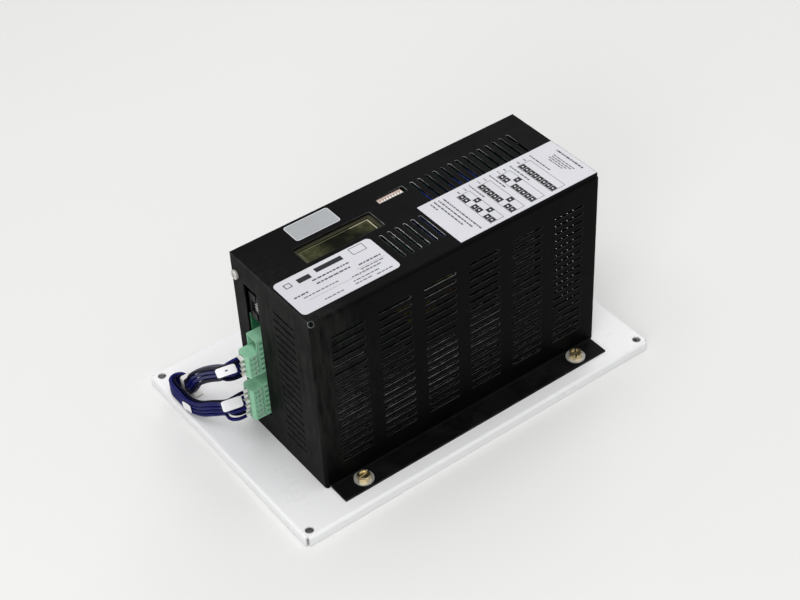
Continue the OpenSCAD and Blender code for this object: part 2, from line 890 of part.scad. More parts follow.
module plug(first_z, poles) {
  len = poles * pole_pitch + block_margin;
  low = first_z - pole_pitch / 2 - block_margin / 2;
  socket_x = clamp_x + clamp_len / 2 + slip;
  bore = pin_w + 6 * slip;
  color(green_plastic) in_box() difference() {
    translate([0, 0, low]) linear_extrude(len) plug_2d();
    for (i = [0 : poles - 1]) translate([0, 0, first_z + i * pole_pitch]) {
      translate([clamp_x, plug_front - 1, 0]) rotate([-90, 0, 0]) {
        cylinder(d = clamp_screw_d + 4 * slip, h = wire_y - plug_front);
      }
      translate([-10.6, plug_front - 1, -0.6]) cube([1.4, 3, 1.2]);
      translate([-plug_out - 1, wire_y - clamp_d / 2 - slip, -clamp_w / 2 - slip]) {
        cube([socket_x + plug_out + 1, clamp_d + 2 * slip, clamp_w + 2 * slip]);
      }
      translate([socket_x - 1, pin_y - bore / 2, -bore / 2]) {
        cube([plug_tip - socket_x + 2, bore, bore]);
      }
    }
  }
}

module upper_plug() {
  plug(upper_pole_z, upper_plug_poles);
}

module lower_plug() {
  plug(lower_pole_z, lower_poles);
}

module plug_screws() {
  head_y = plug_front + 0.6;
  color(zinc) in_box() for (z = plug_heights()) translate([clamp_x, head_y, z]) {
    rotate([-90, 0, 0]) difference() {
      cylinder(d = clamp_screw_d, h = wire_y - clamp_d / 2 - head_y);
      translate([-2, -0.3, -1]) cube([4, 0.6, 1.8]);
    }
  }
}

// Metal cages that grip the wires inside a plug
module plug_clamps() {
  color(zinc) in_box() for (z = plug_heights()) {
    translate([clamp_x - clamp_len / 2, wire_y - clamp_d / 2, z - clamp_w / 2]) difference() {
      cube([clamp_len, clamp_d, clamp_w]);
      translate([-1, 0.8, 0.6]) cube([clamp_len + 2, clamp_d - 1.6, clamp_w - 1.2]);
    }
  }
}

// Wire loom: eight wires in four rows of two, from the upper plug round the
// tie mount to the lower plug. The points are the loom's centre, in the box frame.
loom = [
  [-26.6, 98, 67], [-27, 113, 55], [-27.2, 127.5, 42], [-27.6, 139.5, 29.5],
  [-27.7, 147, 18.6], [-27, 153.6, 11.5], [-26.4, 160.6, 11], [-28, 164.5, 11],
  [-31.9, 166.1, 11], [-35.8, 164.5, 11], [-37.35, 160.6, 10.8], [-37.1, 150, 9.2],
  [-36.6, 138.5, 8.8], [-34.2, 124, 13.2], [-30, 109.5, 22], [-26.2, 99, 28]
];
wire_sides = 8;
steps_per_span = 2;

function unit(v) = v / norm(v);
function loom_dir(k) = unit(loom[min(k + 1, len(loom) - 1)] - loom[max(k - 1, 0)]);
function loom_side(k) = unit(cross([0, 0, 1], loom_dir(k)));
function loom_up(k) = cross(loom_dir(k), loom_side(k));
function wire_row(w) = floor(w / 2);
function wire_col(w) = w % 2 == 0 ? -1 : 1;
function loom_point(k, w) = loom[k]
  + loom_side(k) * wire_col(w) * wire_pitch / 2
  + loom_up(k) * (wire_row(w) - 1.5) * wire_pitch;

// Poles that each wire lands on, counted from the bottom
upper_pole_of = [0, 0, 1, 1, 2, 2, 3, 3];
lower_pole_of = [0, 1, 2, 2, 3, 3, 4, 5];
lower_paired = [false, false, true, true, true, true, false, false];
wire_start_x = -plug_out - slip - collar_len;

twin_gap = 1.06 * wire_d;
turn_r = 7.4;
turn_lead = 2;
turn_angles = [0, 22.5, 45, 67.5, 90];
turn_share = 0.4;
function upper_end(w) = [
  wire_start_x - slip, wire_y - wire_col(w) * twin_gap / 2,
  upper_pole_z + upper_pole_of[w] * pole_pitch
];
function lower_end(w) = [
  wire_start_x - slip, wire_y + (lower_paired[w] ? wire_col(w) * twin_gap / 2 : 0),
  lower_pole_z + lower_pole_of[w] * pole_pitch
];
// Knots of the turn out of a plug: a straight lead, then a quarter of an ellipse
// that falls towards the next knot; side is 1 on the turn's outside, -1 inside
function turn_knots(end, side, next) = concat(
  [end],
  [for (a = turn_angles) [
    end[0] - turn_lead - (turn_r + side * wire_pitch / 2) * sin(a),
    wire_y + turn_r - (wire_y + turn_r - end[1]) * cos(a),
    end[2] + (next[2] - end[2]) * turn_share * (1 - cos(a))
  ]]
);
function reversed(v) = [for (i = [len(v) - 1 : -1 : 0]) v[i]];
function wire_knots(w) = concat(
  turn_knots(upper_end(w), wire_col(w), loom_point(0, w)),
  [for (k = [0 : len(loom) - 1]) loom_point(k, w)],
  reversed(turn_knots(lower_end(w), -wire_col(w), loom_point(len(loom) - 1, w)))
);

// Smooth curve through four knots, between the middle two; a wire's first and
// last spans are straight
function slope_at(a, b, c) =
  let (before = norm(b - a), after = norm(c - b))
  ((b - a) * after / before + (c - b) * before / after) / (before + after);
function curve_at(a, b, c, d, t) =
  (1 - 3 * t * t + 2 * t * t * t) * b
  + (t - 2 * t * t + t * t * t) * norm(c - b) * slope_at(a, b, c)
  + (3 * t * t - 2 * t * t * t) * c
  + (t * t * t - t * t) * norm(c - b) * slope_at(b, c, d);
function wire_path(p) = concat(
  [p[0]],
  [for (i = [1 : len(p) - 3], s = [0 : steps_per_span - 1])
    curve_at(p[i - 1], p[i], p[i + 1], p[i + 2], s / steps_per_span)],
  [p[len(p) - 2], p[len(p) - 1]]
);

// A tube swept along a path, with flat ends
module tube_along(path, d) {
  n = len(path);
  m = wire_sides;
  rings = [for (i = [0 : n - 1])
    let (
      t = unit(path[min(i + 1, n - 1)] - path[max(i - 1, 0)]),
      s = unit(cross(t, [0.05, 0.1, 1])),
      u = cross(s, t)
    )
    for (j = [0 : m - 1])
      path[i] + (s * cos(j * 360 / m) + u * sin(j * 360 / m)) * d / 2
  ];
  sides = [for (i = [0 : n - 2], j = [0 : m - 1])
    [i * m + j, (i + 1) * m + j, (i + 1) * m + (j + 1) % m, i * m + (j + 1) % m]
  ];
  ends = [
    [for (j = [0 : m - 1]) j],
    [for (j = [m - 1 : -1 : 0]) (n - 1) * m + j]
  ];
  polyhedron(rings, concat(sides, ends));
}

module wire(w) {
  tube_along(wire_path(wire_knots(w)), wire_d);
}

module blue_wires() {
  color(navy) in_box() for (w = [0, 2, 3, 4, 5, 6]) wire(w);
}

module black_wires() {
  color(black_plastic) in_box() for (w = [1, 7]) wire(w);
}

// White collars of the wire ends, with the metal sleeve inside the plug
module collar(twin) {
  rotate([90, 0, 90]) {
    linear_extrude(collar_len) {
      if (twin) slot_2d(twin_gap + wire_d * 1.1, wire_d * 1.14);
      if (!twin) circle(d = wire_d * 1.14);
    }
    linear_extrude(collar_len + plug_out + clamp_x + clamp_len / 2) circle(d = 1.5);
  }
}

module wire_collars() {
  color(white_plastic) in_box() {
    for (z = upper_poles_z(upper_plug_poles)) translate([wire_start_x, wire_y, z]) collar(true);
    for (i = [0 : lower_poles - 1]) {
      translate([wire_start_x, wire_y, lower_pole_z + i * pole_pitch]) {
        collar(i == 2 || i == 3);
      }
    }
  }
}

// Stick-on mount and cable tie that hold the loom to the plate
tie_knot = 5;
tie_share = 0.65;
tie_point = curve_at(
  loom[tie_knot - 1], loom[tie_knot], loom[tie_knot + 1], loom[tie_knot + 2], tie_share
);
tie_x = tie_point[0];
tie_y = tie_point[1];
tie_t = 1;
tie_slack = 0.8;
mount_base_t = 1.4;
bundle_w = 2 * wire_pitch + tie_slack;
bundle_h = 4 * wire_pitch + tie_slack;
bundle_z = tie_point[2] - bundle_h / 2;

module tie_mount() {
  color(white_plastic) in_box() translate([tie_x, tie_y, 0]) difference() {
    union() {
      translate([-tie_mount_w / 2 - 1, -tie_mount_w / 2, 0]) {
        linear_extrude(mount_base_t) round_rect([tie_mount_w, tie_mount_w], 1.5);
      }
      translate([tie_t - bundle_w / 2, -tie_w, mount_base_t]) {
        cube([bundle_w - 2 * tie_t, 2 * tie_w, bundle_z - mount_base_t]);
      }
    }
    translate([-bundle_w, -tie_w / 2 - slip, bundle_z - 2 * tie_t]) {
      cube([2 * bundle_w, tie_w + 2 * slip, tie_t + 2 * slip]);
    }
  }
}

module cable_tie() {
  low = bundle_z - 2 * tie_t + slip;
  high = bundle_z + bundle_h + tie_t;
  color(white_plastic) in_box() translate([tie_x, tie_y - tie_w / 2, 0]) {
    along_y(tie_w) difference() {
      translate([-bundle_w / 2 - tie_t, low]) {
        round_rect([bundle_w + 2 * tie_t, high - low], 2);
      }
      translate([-bundle_w / 2, low + tie_t]) {
        round_rect([bundle_w, high - low - 2 * tie_t], 1);
      }
    }
    translate([bundle_w / 2 + tie_t, -0.8, high - 7]) cube([3.6, tie_w + 1.6, 5]);
  }
}

// White marker tag on the loom's outside: knot, side of the loom, distance
// from its centre, shift along it, rise, length and height
tags = [[12, -1, 3.3, 1.5, -0.3, 11, 7.5]];
// White marker flags that hang on the wires at the plugs: middle, length,
// width, tilt about X and turn about Z
flags = [
  [-30.85, 76.9, 87.05, 16, 7.6, 26, -12], [-29.3, 78.2, 50.2, 16.5, 8.5, 48, -12]
];
tag_t = 0.8;

module wire_markers() {
  color(white_plastic) in_box() for (g = tags) {
    d = loom_dir(g[0]);
    translate(loom[g[0]]) rotate([0, -asin(d[2]), atan2(d[1], d[0])]) {
      translate([g[3], g[1] * (g[2] + tag_t / 2), g[4]]) {
        cube([g[5], tag_t, g[6]], center = true);
      }
    }
  }
  color(white_plastic) in_box() for (f = flags) {
    translate([f[0], f[1], f[2]]) rotate([f[5], 0, f[6]]) {
      cube([f[3], f[4], tag_t], center = true);
    }
  }
}

// Parts on the main board, all seated on its front face
module on_board(x, z) {
  in_box() translate([x, board_front, z]) rotate([90, 0, 0]) children();
}

heat_x = board_x1 - 36;
heat_z0 = board_z + 8;
choke_x = heat_x - 46;
choke_z = heat_z0 + 46;
transformer_x = choke_x - 48;
transformer_z = board_z + 44;
core_t = 16;
core_z = 4;
core_leg = 12.8;
core_yoke = 6;
coil_gap = 0.3;
coil_flange = 1.4;
coil_wall = 1;
bobbin_foot = 4;
coil_inset = 0.8;
coil_round = 2.5;

// Two ferrite halves with a middle leg and two outer legs
module transformer_core() {
  window = (core_w - core_leg) / 2 - core_leg / 2 + coil_gap;
  color([0.16, 0.16, 0.17]) on_board(transformer_x, transformer_z) difference() {
    translate([-core_w / 2, -core_t / 2, core_z]) cube([core_w, core_t, core_h]);
    for (s = [-1, 1]) {
      translate([s * (core_leg + window) / 2 - window / 2, -core_t, core_z + core_yoke]) {
        cube([window, 2 * core_t, core_h - 2 * core_yoke]);
      }
    }
  }
}

// Space that the middle leg leaves for its coil former, seen along the leg
module leg_2d(extra) {
  square([core_leg + 2 * extra, core_t + 2 * extra], center = true);
}

coil_w = core_w - core_leg - 2 * coil_gap;
coil_z0 = core_z + core_yoke + coil_gap;
coil_z1 = core_z + core_h - core_yoke - coil_gap;

module transformer_bobbin() {
  color(black_plastic) on_board(transformer_x, transformer_z) {
    for (z = [coil_z0, coil_z1 - coil_flange]) {
      translate([0, 0, z]) linear_extrude(coil_flange) difference() {
        translate([-coil_w / 2, -coil_d / 2]) square([coil_w, coil_d]);
        leg_2d(coil_gap);
      }
    }
    translate([0, 0, coil_z0]) linear_extrude(coil_z1 - coil_z0) difference() {
      leg_2d(coil_gap + coil_wall);
      leg_2d(coil_gap);
    }
    for (s = [-1, 1]) {
      translate([-coil_w / 2, s * (coil_d - bobbin_foot) / 2 - bobbin_foot / 2, 0]) {
        cube([coil_w, bobbin_foot, coil_z0]);
      }
    }
  }
}

module transformer_coil() {
  rise = coil_z1 - coil_z0 - 2 * (coil_flange + slip);
  color([0.82, 0.68, 0.20]) on_board(transformer_x, transformer_z) {
    translate([0, 0, coil_z0 + coil_flange + slip]) linear_extrude(rise) difference() {
      translate([-coil_w / 2 + coil_inset, -coil_d / 2 + coil_inset]) {
        round_rect([coil_w - 2 * coil_inset, coil_d - 2 * coil_inset], coil_round);
      }
      leg_2d(coil_gap + coil_wall + slip);
    }
  }
}

heat_base = 4;
heat_fin_t = 1.6;

// Extruded heat sink: a flat base with fins, standing along Z
module heat_sink() {
  color([0.72, 0.73, 0.75]) in_box() {
    translate([heat_x - heat_w / 2, board_front - heat_d, heat_z0]) {
      linear_extrude(heat_h) {
        square([heat_base, heat_d]);
        for (i = [0 : heat_fins - 1]) {
          translate([heat_base - slip, i * (heat_d - heat_fin_t) / (heat_fins - 1)]) {
            square([heat_w - heat_base + slip, heat_fin_t]);
          }
        }
      }
    }
  }
}

transistor_count = 4;
transistor_t = 4.8;
transistor_w = 15.6;
transistor_h = 20;
transistor_rise = 4;
transistor_hole_d = 3.6;
transistor_hole_drop = 5;
transistor_leg_pitch = 5.45;
leg_w = 1;
leg_t = 0.8;
transistor_screw_d = 3;

function transistor_z(i) = heat_z0 + (i + 0.5) * heat_h / transistor_count;

module power_transistors() {
  body_y = board_front - transistor_rise - transistor_h;
  color(black_plastic) in_box() for (i = [0 : transistor_count - 1]) {
    translate([heat_x - heat_w / 2 - transistor_t, body_y, transistor_z(i)]) {
      difference() {
        translate([0, 0, -transistor_w / 2]) cube([transistor_t, transistor_h, transistor_w]);
        translate([-over, transistor_hole_drop, 0]) rotate([0, 90, 0]) {
          cylinder(d = transistor_hole_d, h = transistor_t + 2 * over);
        }
      }
      for (s = [-1, 0, 1]) {
        translate([transistor_t / 2, transistor_h - slip, s * transistor_leg_pitch - leg_w / 2]) {
          cube([leg_t, transistor_rise + slip, leg_w]);
        }
      }
    }
  }
}

module transistor_screws() {
  screw_y = board_front - transistor_rise - transistor_h + transistor_hole_drop;
  color(zinc) in_box() for (i = [0 : transistor_count - 1]) {
    translate([heat_x - heat_w / 2 - transistor_t, screw_y, transistor_z(i)]) {
      rotate([0, -90, 0]) {
        pan_screw(transistor_screw_d, 1.9 * transistor_screw_d, 2.2, transistor_t - 2 * slip);
      }
    }
  }
}

// Can capacitor along +Z with a turned-in sleeve edge
module can(d, h) {
  edge_r = 1;
  rim = 2.4;
  dish = 0.4;
  groove_z = 3;
  groove_h = 1.4;
  rotate_extrude() {
    difference() {
      union() {
        square([d / 2 - edge_r, h]);
        square([d / 2, h - edge_r]);
        translate([d / 2 - edge_r, h - edge_r]) circle(r = edge_r);
      }
      translate([-d, -d]) square([d, 3 * d]);
      translate([0, h - dish]) square([d / 2 - rim, over]);
      translate([d / 2 - 0.5, groove_z]) square([over, groove_h]);
    }
  }
}

// Large capacitors: to the right, a fixed distance below the board's upper edge
bulk_cap_x = board_x1 - 104;
bulk_cap_z = board_top - bulk_cap_d / 2 - 10;

module bulk_capacitors() {
  color([0.10, 0.16, 0.50]) for (i = [0, 1]) {
    on_board(bulk_cap_x + i * bulk_cap_pitch, bulk_cap_z) can(bulk_cap_d, bulk_cap_h);
  }
}

// Small capacitors: in a row to the right of the ribbon cable's socket
output_cap_count = 4;
output_cap_gap = 2.5;
output_cap_x = ribbon_x + socket_w + output_cap_gap + output_cap_d / 2;
output_cap_z = board_z + 88;

module output_capacitors() {
  color([0.12, 0.12, 0.14]) for (i = [0 : output_cap_count - 1]) {
    on_board(output_cap_x + i * (output_cap_d + output_cap_gap), output_cap_z) {
      can(output_cap_d, output_cap_h);
    }
  }
}

choke_wire_d = 1.8;
choke_rise = 1.7;
choke_hole_d = 18;
choke_h = 12;
choke_turns = 12;
choke_z0 = choke_rise + choke_wire_d + slip;

module choke_core() {
  color([0.75, 0.72, 0.30]) on_board(choke_x, choke_z) {
    translate([0, 0, choke_z0]) rotate_extrude() translate([choke_hole_d / 2, 0]) {
      square([(choke_d - choke_hole_d) / 2, choke_h]);
    }
  }
}

// Copper turns round the choke's ring
module choke_coil() {
  x0 = choke_hole_d / 2 - choke_wire_d - slip;
  hole_w = (choke_d - choke_hole_d) / 2 + 2 * slip;
  hole_h = choke_h + 2 * slip;
  color([0.72, 0.40, 0.20]) on_board(choke_x, choke_z) {
    for (i = [0 : choke_turns - 1]) rotate([0, 0, i * 360 / choke_turns]) {
      translate([x0, -choke_wire_d / 2, choke_rise]) difference() {
        cube([hole_w + 2 * choke_wire_d, choke_wire_d, hole_h + 2 * choke_wire_d]);
        translate([choke_wire_d, -over, choke_wire_d]) {
          cube([hole_w, choke_wire_d + 2 * over, hole_h]);
        }
      }
    }
    for (s = [-1, 1]) translate([s * (choke_hole_d + choke_d) / 4, 0, 0]) {
      cylinder(d = choke_wire_d, h = choke_rise);
    }
  }
}

relay_count = 3;
relay_x = board_x0 + 34;
relay_z = board_z + 28;
relay_pitch = 20;
relay_lid = 0.6;

module relays() {
  color([0.10, 0.22, 0.50]) for (i = [0 : relay_count - 1]) {
    on_board(relay_x, relay_z + i * relay_pitch) {
      translate([-relay_w / 2, -relay_d / 2, 0]) cube([relay_w, relay_d, relay_h - relay_lid]);
      translate([-relay_w / 2 + over, -relay_d / 2 + over, relay_h - relay_lid]) {
        cube([relay_w - 2 * over, relay_d - 2 * over, relay_lid]);
      }
    }
  }
}

fuse_x = relay_x + 42;
fuse_z = board_z + 22;
fuse_rise = 6.5;
clip_w = 6;
clip_wall = 1;

module fuse() {
  color([0.86, 0.87, 0.86]) on_board(fuse_x, fuse_z) {
    translate([-fuse_len / 2, 0, fuse_rise]) rotate([0, 90, 0]) cylinder(d = fuse_d, h = fuse_len);
  }
}

module fuse_clips() {
  clip_d = fuse_d + 2 * (clip_wall + slip);
  clip_h = fuse_rise + fuse_d / 2 - clip_wall / 2;
  clip_x = (fuse_len - clip_w) / 2 - clip_wall;
  color([0.80, 0.78, 0.70]) for (s = [-1, 1]) on_board(fuse_x + s * clip_x, fuse_z) {
    difference() {
      translate([-clip_w / 2, -clip_d / 2, 0]) cube([clip_w, clip_d, clip_h]);
      translate([-clip_w / 2 - over, 0, fuse_rise]) rotate([0, 90, 0]) {
        cylinder(d = fuse_d + 2 * slip, h = clip_w + 2 * over);
      }
      translate([-clip_w / 2 - over, -fuse_d * 0.38, fuse_rise]) {
        cube([clip_w + 2 * over, fuse_d * 0.76, fuse_d]);
      }
      translate([-clip_w / 2 - over, -fuse_d / 2, clip_wall]) {
        cube([clip_w + 2 * over, fuse_d, fuse_rise - fuse_d / 2 - 2 * clip_wall]);
      }
    }
  }
}

// Plastic chips with two rows of legs: place along the board, height and legs
chip_pitch = 2.54;
chip_w = 6.4;
chip_t = 3.4;
chip_rise = 0.6;
chip_leg = 0.5;
chips = [
  [board_x0 + 70, board_z + 70, 10],
  [board_x0 + 102, board_z + 70, 10],
  [board_x0 + 86, board_top - 35, 20]
];

module control_chips() {
  color(black_plastic) for (c = chips) on_board(c[0], c[1]) {
    n = c[2] / 2;
    translate([-(n * chip_pitch) / 2 - over, -chip_w / 2, chip_rise]) {
      cube([n * chip_pitch + 2 * over, chip_w, chip_t]);
    }
    for (i = [0 : n - 1], s = [-1, 1]) {
      translate([
        (i - (n - 1) / 2) * chip_pitch - chip_leg / 2,
        s * (chip_w / 2 + chip_leg * 0.7) - chip_leg * 0.8,
        0
      ]) cube([chip_leg, chip_leg * 1.6, chip_t * 0.7]);
    }
  }
}

// Box header with two rows of pins, beside the terminal opening and a clear step above the upper header
box_header_step = 14.16;
box_header_z = upper_pole_z + (upper_header_poles - 0.5) * pole_pitch + header_wall + block_margin
  + box_header_step;
box_header_w = 8.8;
box_header_d = 9;
box_header_rows = 8;
box_header_key = 11;
box_header_x = board_x0 + 0.6;

module box_header() {
  len = (box_header_rows + 1.6) * 2.54;
  color(black_plastic) in_box() {
    translate([box_header_x, board_front - box_header_d, box_header_z]) difference() {
      cube([box_header_w, box_header_d, len]);
      translate([1.2, -1, 1.2]) cube([box_header_w - 2.4, box_header_d - 1.5, len - 2.4]);
      translate([-1, -1, (len - box_header_key) / 2]) {
        cube([3, box_header_d - 1.5, box_header_key]);
      }
    }
  }
}

module box_header_pins() {
  color([0.84, 0.82, 0.76]) in_box() {
    for (i = [0 : box_header_rows - 1], s = [-1.27, 1.27]) {
      translate([
        box_header_x + box_header_w / 2 + s - 0.32,
        board_front - box_header_d + 1,
        box_header_z + (i + 1.3) * 2.54 - 0.32
      ]) cube([0.64, box_header_d - 3.5, 0.64]);
    }
  }
}

// Stuck-on labels, left bare
label_edge = 0.4;

module rating_label() {
  color([0.92, 0.92, 0.93]) in_box() translate([rating_x, rating_y, box_h]) {
    linear_extrude(label_t) round_rect([rating_w, rating_d], 4);
  }
}

module badge_label() {
  color([0.74, 0.75, 0.77]) in_box() translate([badge_x, badge_y, box_h]) {
    linear_extrude(label_t) round_rect([badge_w, badge_d], 2.5);
  }
}

module settings_label() {
  color([0.92, 0.92, 0.93]) in_box() {
    translate([box_w - settings_w - label_edge, bend_r + label_edge, box_h]) {
      cube([settings_w, settings_d, label_t]);
    }
  }
}

mounting_plate();
cover();
rear_panel();
flange_screws();
flange_washers();
cover_screws();
main_board();
board_standoffs();
board_screws();
standoff_screws();
display_board();
display_bezel();
display_glass();
display_standoffs();
display_screws();
display_socket();
ribbon_cable();
ribbon_socket();
switch_housing();
slider(0);  // slider_1
slider(1);  // slider_2
slider(2);  // slider_3
slider(3);  // slider_4
slider(4);  // slider_5
slider(5);  // slider_6
slider(6);  // slider_7
slider(7);  // slider_8
upper_header();
lower_header();
header_pins();
upper_plug();
lower_plug();
plug_screws();
plug_clamps();
blue_wires();
black_wires();
wire_collars();
tie_mount();
cable_tie();
wire_markers();
transformer_core();
transformer_bobbin();
transformer_coil();
heat_sink();
power_transistors();
transistor_screws();
bulk_capacitors();
output_capacitors();
choke_core();
choke_coil();
relays();
fuse();
fuse_clips();
control_chips();
box_header();
box_header_pins();
rating_label();
badge_label();
settings_label();
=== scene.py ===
import json
import math
import bpy
import numpy as np
from mathutils import Matrix, Vector


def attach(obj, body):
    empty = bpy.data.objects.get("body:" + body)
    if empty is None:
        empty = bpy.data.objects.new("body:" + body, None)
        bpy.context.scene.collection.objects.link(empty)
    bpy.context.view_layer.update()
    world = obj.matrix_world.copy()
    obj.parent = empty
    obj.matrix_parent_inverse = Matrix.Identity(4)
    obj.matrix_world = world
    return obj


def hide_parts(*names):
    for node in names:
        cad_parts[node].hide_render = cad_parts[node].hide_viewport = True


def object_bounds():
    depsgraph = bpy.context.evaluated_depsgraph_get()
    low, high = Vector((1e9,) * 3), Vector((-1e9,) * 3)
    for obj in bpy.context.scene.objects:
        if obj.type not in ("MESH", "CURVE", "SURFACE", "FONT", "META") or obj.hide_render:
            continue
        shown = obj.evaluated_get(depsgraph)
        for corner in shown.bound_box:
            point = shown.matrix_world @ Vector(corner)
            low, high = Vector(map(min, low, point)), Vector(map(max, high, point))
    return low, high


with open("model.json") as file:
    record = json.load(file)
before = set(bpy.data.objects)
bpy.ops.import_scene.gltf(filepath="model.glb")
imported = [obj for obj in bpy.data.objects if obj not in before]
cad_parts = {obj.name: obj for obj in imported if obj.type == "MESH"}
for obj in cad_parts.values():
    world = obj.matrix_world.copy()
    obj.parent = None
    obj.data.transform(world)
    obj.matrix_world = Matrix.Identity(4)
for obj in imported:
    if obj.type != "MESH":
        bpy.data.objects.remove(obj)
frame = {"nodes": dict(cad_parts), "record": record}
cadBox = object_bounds()
nodes = frame["nodes"]
print("frame loaded,", len(nodes), "nodes")

# the case's left, front, bottom corner, as in the part's source; the pieces' sizes and places below are
# millimetres from it, the places in the finishes, the camera and the lamps are metres in the row frame
boxCorner = np.array([-131.1, -82.2, 8.6])


def toRow(points):
    # millimetres from the case's corner become metres in the row frame
    return (np.asarray(points, float) + boxCorner) / 1000


# ---- camera at the photograph's angle

cameraSetup = {
    "place": (-0.5818, -0.8443, 0.9704),
    "right": (0.79929, -0.59944, -0.04249),
    "up": (0.4214, 0.5087, 0.7508),
    "forward": (0.4284, 0.6181, -0.6592),
    "lens": 76.65,
    "sensor": 36,
    "clip": (0.05, 30),
}


def placeCamera(s):
    data = bpy.data.cameras.new("photoCamera")
    data.lens = s["lens"]
    data.sensor_width = s["sensor"]
    data.clip_start, data.clip_end = s["clip"]
    obj = bpy.data.objects.new("photoCamera", data)
    bpy.context.scene.collection.objects.link(obj)
    r, u, f = (np.array(s[k], float) for k in ("right", "up", "forward"))
    f = f / np.linalg.norm(f)
    r = r - f * (r @ f)
    r = r / np.linalg.norm(r)
    u = np.cross(r, f)
    m = np.eye(4)  # columns: right, up, backward, place
    m[:3, 0], m[:3, 1], m[:3, 2], m[:3, 3] = r, u, -f, s["place"]
    obj.matrix_world = Matrix(m.tolist())
    bpy.context.scene.camera = obj


placeCamera(cameraSetup)


# ---- mesh helpers: every new piece is worked out as whole arrays

def newPiece(name, verts, faces, surface, slotName, smooth=None, replaces=()):
    # verts in metres, faces as lists of vertex numbers; smooth is the crease angle in degrees
    mesh = bpy.data.meshes.new(name)
    mesh.from_pydata(np.asarray(verts).tolist(), [], faces)
    mesh.update()
    if smooth is not None:
        mesh.polygons.foreach_set("use_smooth", np.ones(len(mesh.polygons), bool))
        mesh.set_sharp_from_angle(angle=math.radians(smooth))
    mesh.materials.append(surface)
    obj = bpy.data.objects.new(name, mesh)
    bpy.context.scene.collection.objects.link(obj)
    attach(obj, "charger")
    if replaces:
        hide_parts(*replaces)
    return obj


def loftFaces(n, m, first=0):
    # n closed rings of m points each: a quad between neighbours of two rings, and a cap at each end
    i, j = np.meshgrid(np.arange(n - 1), np.arange(m), indexing="ij")
    k = (j + 1) % m
    quads = np.stack([i * m + j, i * m + k, (i + 1) * m + k, (i + 1) * m + j], -1).reshape(-1, 4)
    faces = (quads + first).tolist()
    faces.append((np.arange(m)[::-1] + first).tolist())
    faces.append((np.arange(m) + (n - 1) * m + first).tolist())
    return faces


def closedGridFaces(n, m):
    # a grid of n by m points that closes on itself both ways
    i, j = np.meshgrid(np.arange(n), np.arange(m), indexing="ij")
    i2, j2 = (i + 1) % n, (j + 1) % m
    return np.stack([i * m + j, i * m + j2, i2 * m + j2, i2 * m + j], -1).reshape(-1, 4)


def unit(v):
    return v / np.linalg.norm(v, axis=-1, keepdims=True)


def tubeRings(path, radius, sides):
    # circle of the given radius round each path point, in the plane across the path:
    # P + r (cos a * S - sin a * U), with S = T x (0.05, 0.1, 1) and U = S x T
    t = np.empty_like(path)
    t[1:-1] = path[2:] - path[:-2]
    t[0], t[-1] = path[1] - path[0], path[-1] - path[-2]
    t = unit(t)
    s = unit(np.cross(t, [0.05, 0.1, 1]))
    u = np.cross(s, t)
    a = np.linspace(0, 2 * np.pi, sides, endpoint=False)
    r = np.broadcast_to(np.asarray(radius, float), len(path))[:, None, None]
    return path[:, None] + r * (np.cos(a)[:, None] * s[:, None] - np.sin(a)[:, None] * u[:, None])


def boxMesh(lows, highs):
    # boxes along the axes from their low and high corners (k,3): the bits of a corner's number say, for X, Y
    # and Z, whether it is low or high
    lows, highs = np.atleast_2d(lows).astype(float), np.atleast_2d(highs).astype(float)
    bits = np.array([[b & 1, b >> 1 & 1, b >> 2 & 1] for b in range(8)])
    verts = np.where(bits[None] == 1, highs[:, None], lows[:, None]).reshape(-1, 3)
    one = np.array([[0, 2, 3, 1], [4, 5, 7, 6], [0, 1, 5, 4], [2, 6, 7, 3], [0, 4, 6, 2], [1, 3, 7, 5]])
    faces = (one[None] + 8 * np.arange(len(lows))[:, None, None]).reshape(-1, 4)
    return verts, faces.tolist()


def discMesh(centres, radius, low, high, sides=12):
    # upright discs: rings of the given radius at the low and the high level
    c = np.atleast_2d(centres).astype(float)
    a = np.linspace(0, 2 * np.pi, sides, endpoint=False)
    ring = np.stack([np.cos(a), np.sin(a)], -1) * radius
    xy = c[:, None, None, :2] + ring[None, None]
    xy = np.broadcast_to(xy, (len(c), 2, sides, 2))
    z = np.broadcast_to(np.array([low, high])[None, :, None, None], (len(c), 2, sides, 1))
    verts = np.concatenate([xy, z], -1).reshape(-1, 3)
    faces = []
    for k in range(len(c)):
        faces += loftFaces(2, sides, k * 2 * sides)
    return verts, faces


def joined(parts):
    # several (verts, faces) pairs as one
    verts, faces, first = [], [], 0
    for v, f in parts:
        verts.append(np.asarray(v).reshape(-1, 3))
        faces += [[i + first for i in face] for face in f]
        first += len(verts[-1])
    return np.concatenate(verts), faces


# ---- finishes

# copper under the board's solder mask, as a brick pattern
tracePattern = {"Scale": 1, "Mortar Size": 0.0004, "Brick Width": 0.011, "Row Height": 0.0032}

# what all the finishes share; a noise is given as scale, detail, roughness, distortion and stretch, and a
# range as the two values between which an effect rises, with the effect at each if that isn't 0 and 1
shading = {
    "toneNoise": (4, 0.6, 0.4),  # the scale is the finish's own, as for the grain
    "toneRange": (0.35, 0.65),
    "grainNoise": (2, 0.5),
    "roughNoise": (60, 4),
    "roughRange": (0.3, 0.7),
    "traceStrength": 0.8,
    "bevelSamples": 6,
    # wear and painted edge highlights by the product of the rounded and the flat normal, by a noise, and by the
    # lean along a direction
    "wearGlintTurned": (0.98, 0.75),
    "wearGlintNoise": (160, 3),
    "wearGlintRange": (0.38, 0.62, 0.25, 1),
    "glintLean": (-0.1, 0.1),
    "scuffSheenNoise": (240, 5, 0.6, 0.3, (1, 1, 0.16)),
    "scuffSheenRange": (0.36, 0.78, 0, 1),
    # dust, and painted light on the low flange, by how far a face looks up and by a noise, and the height in
    # which its strength changes
    "dustLightFacing": (0.4, 0.95),
    "dustLightNoise": (18, 6, 0.7, 1.2),
    "dustLightRange": (0.42, 0.75, 0.15, 1),
    "flangeLightRise": 0.01,
    "coatRough": 0.1,
}


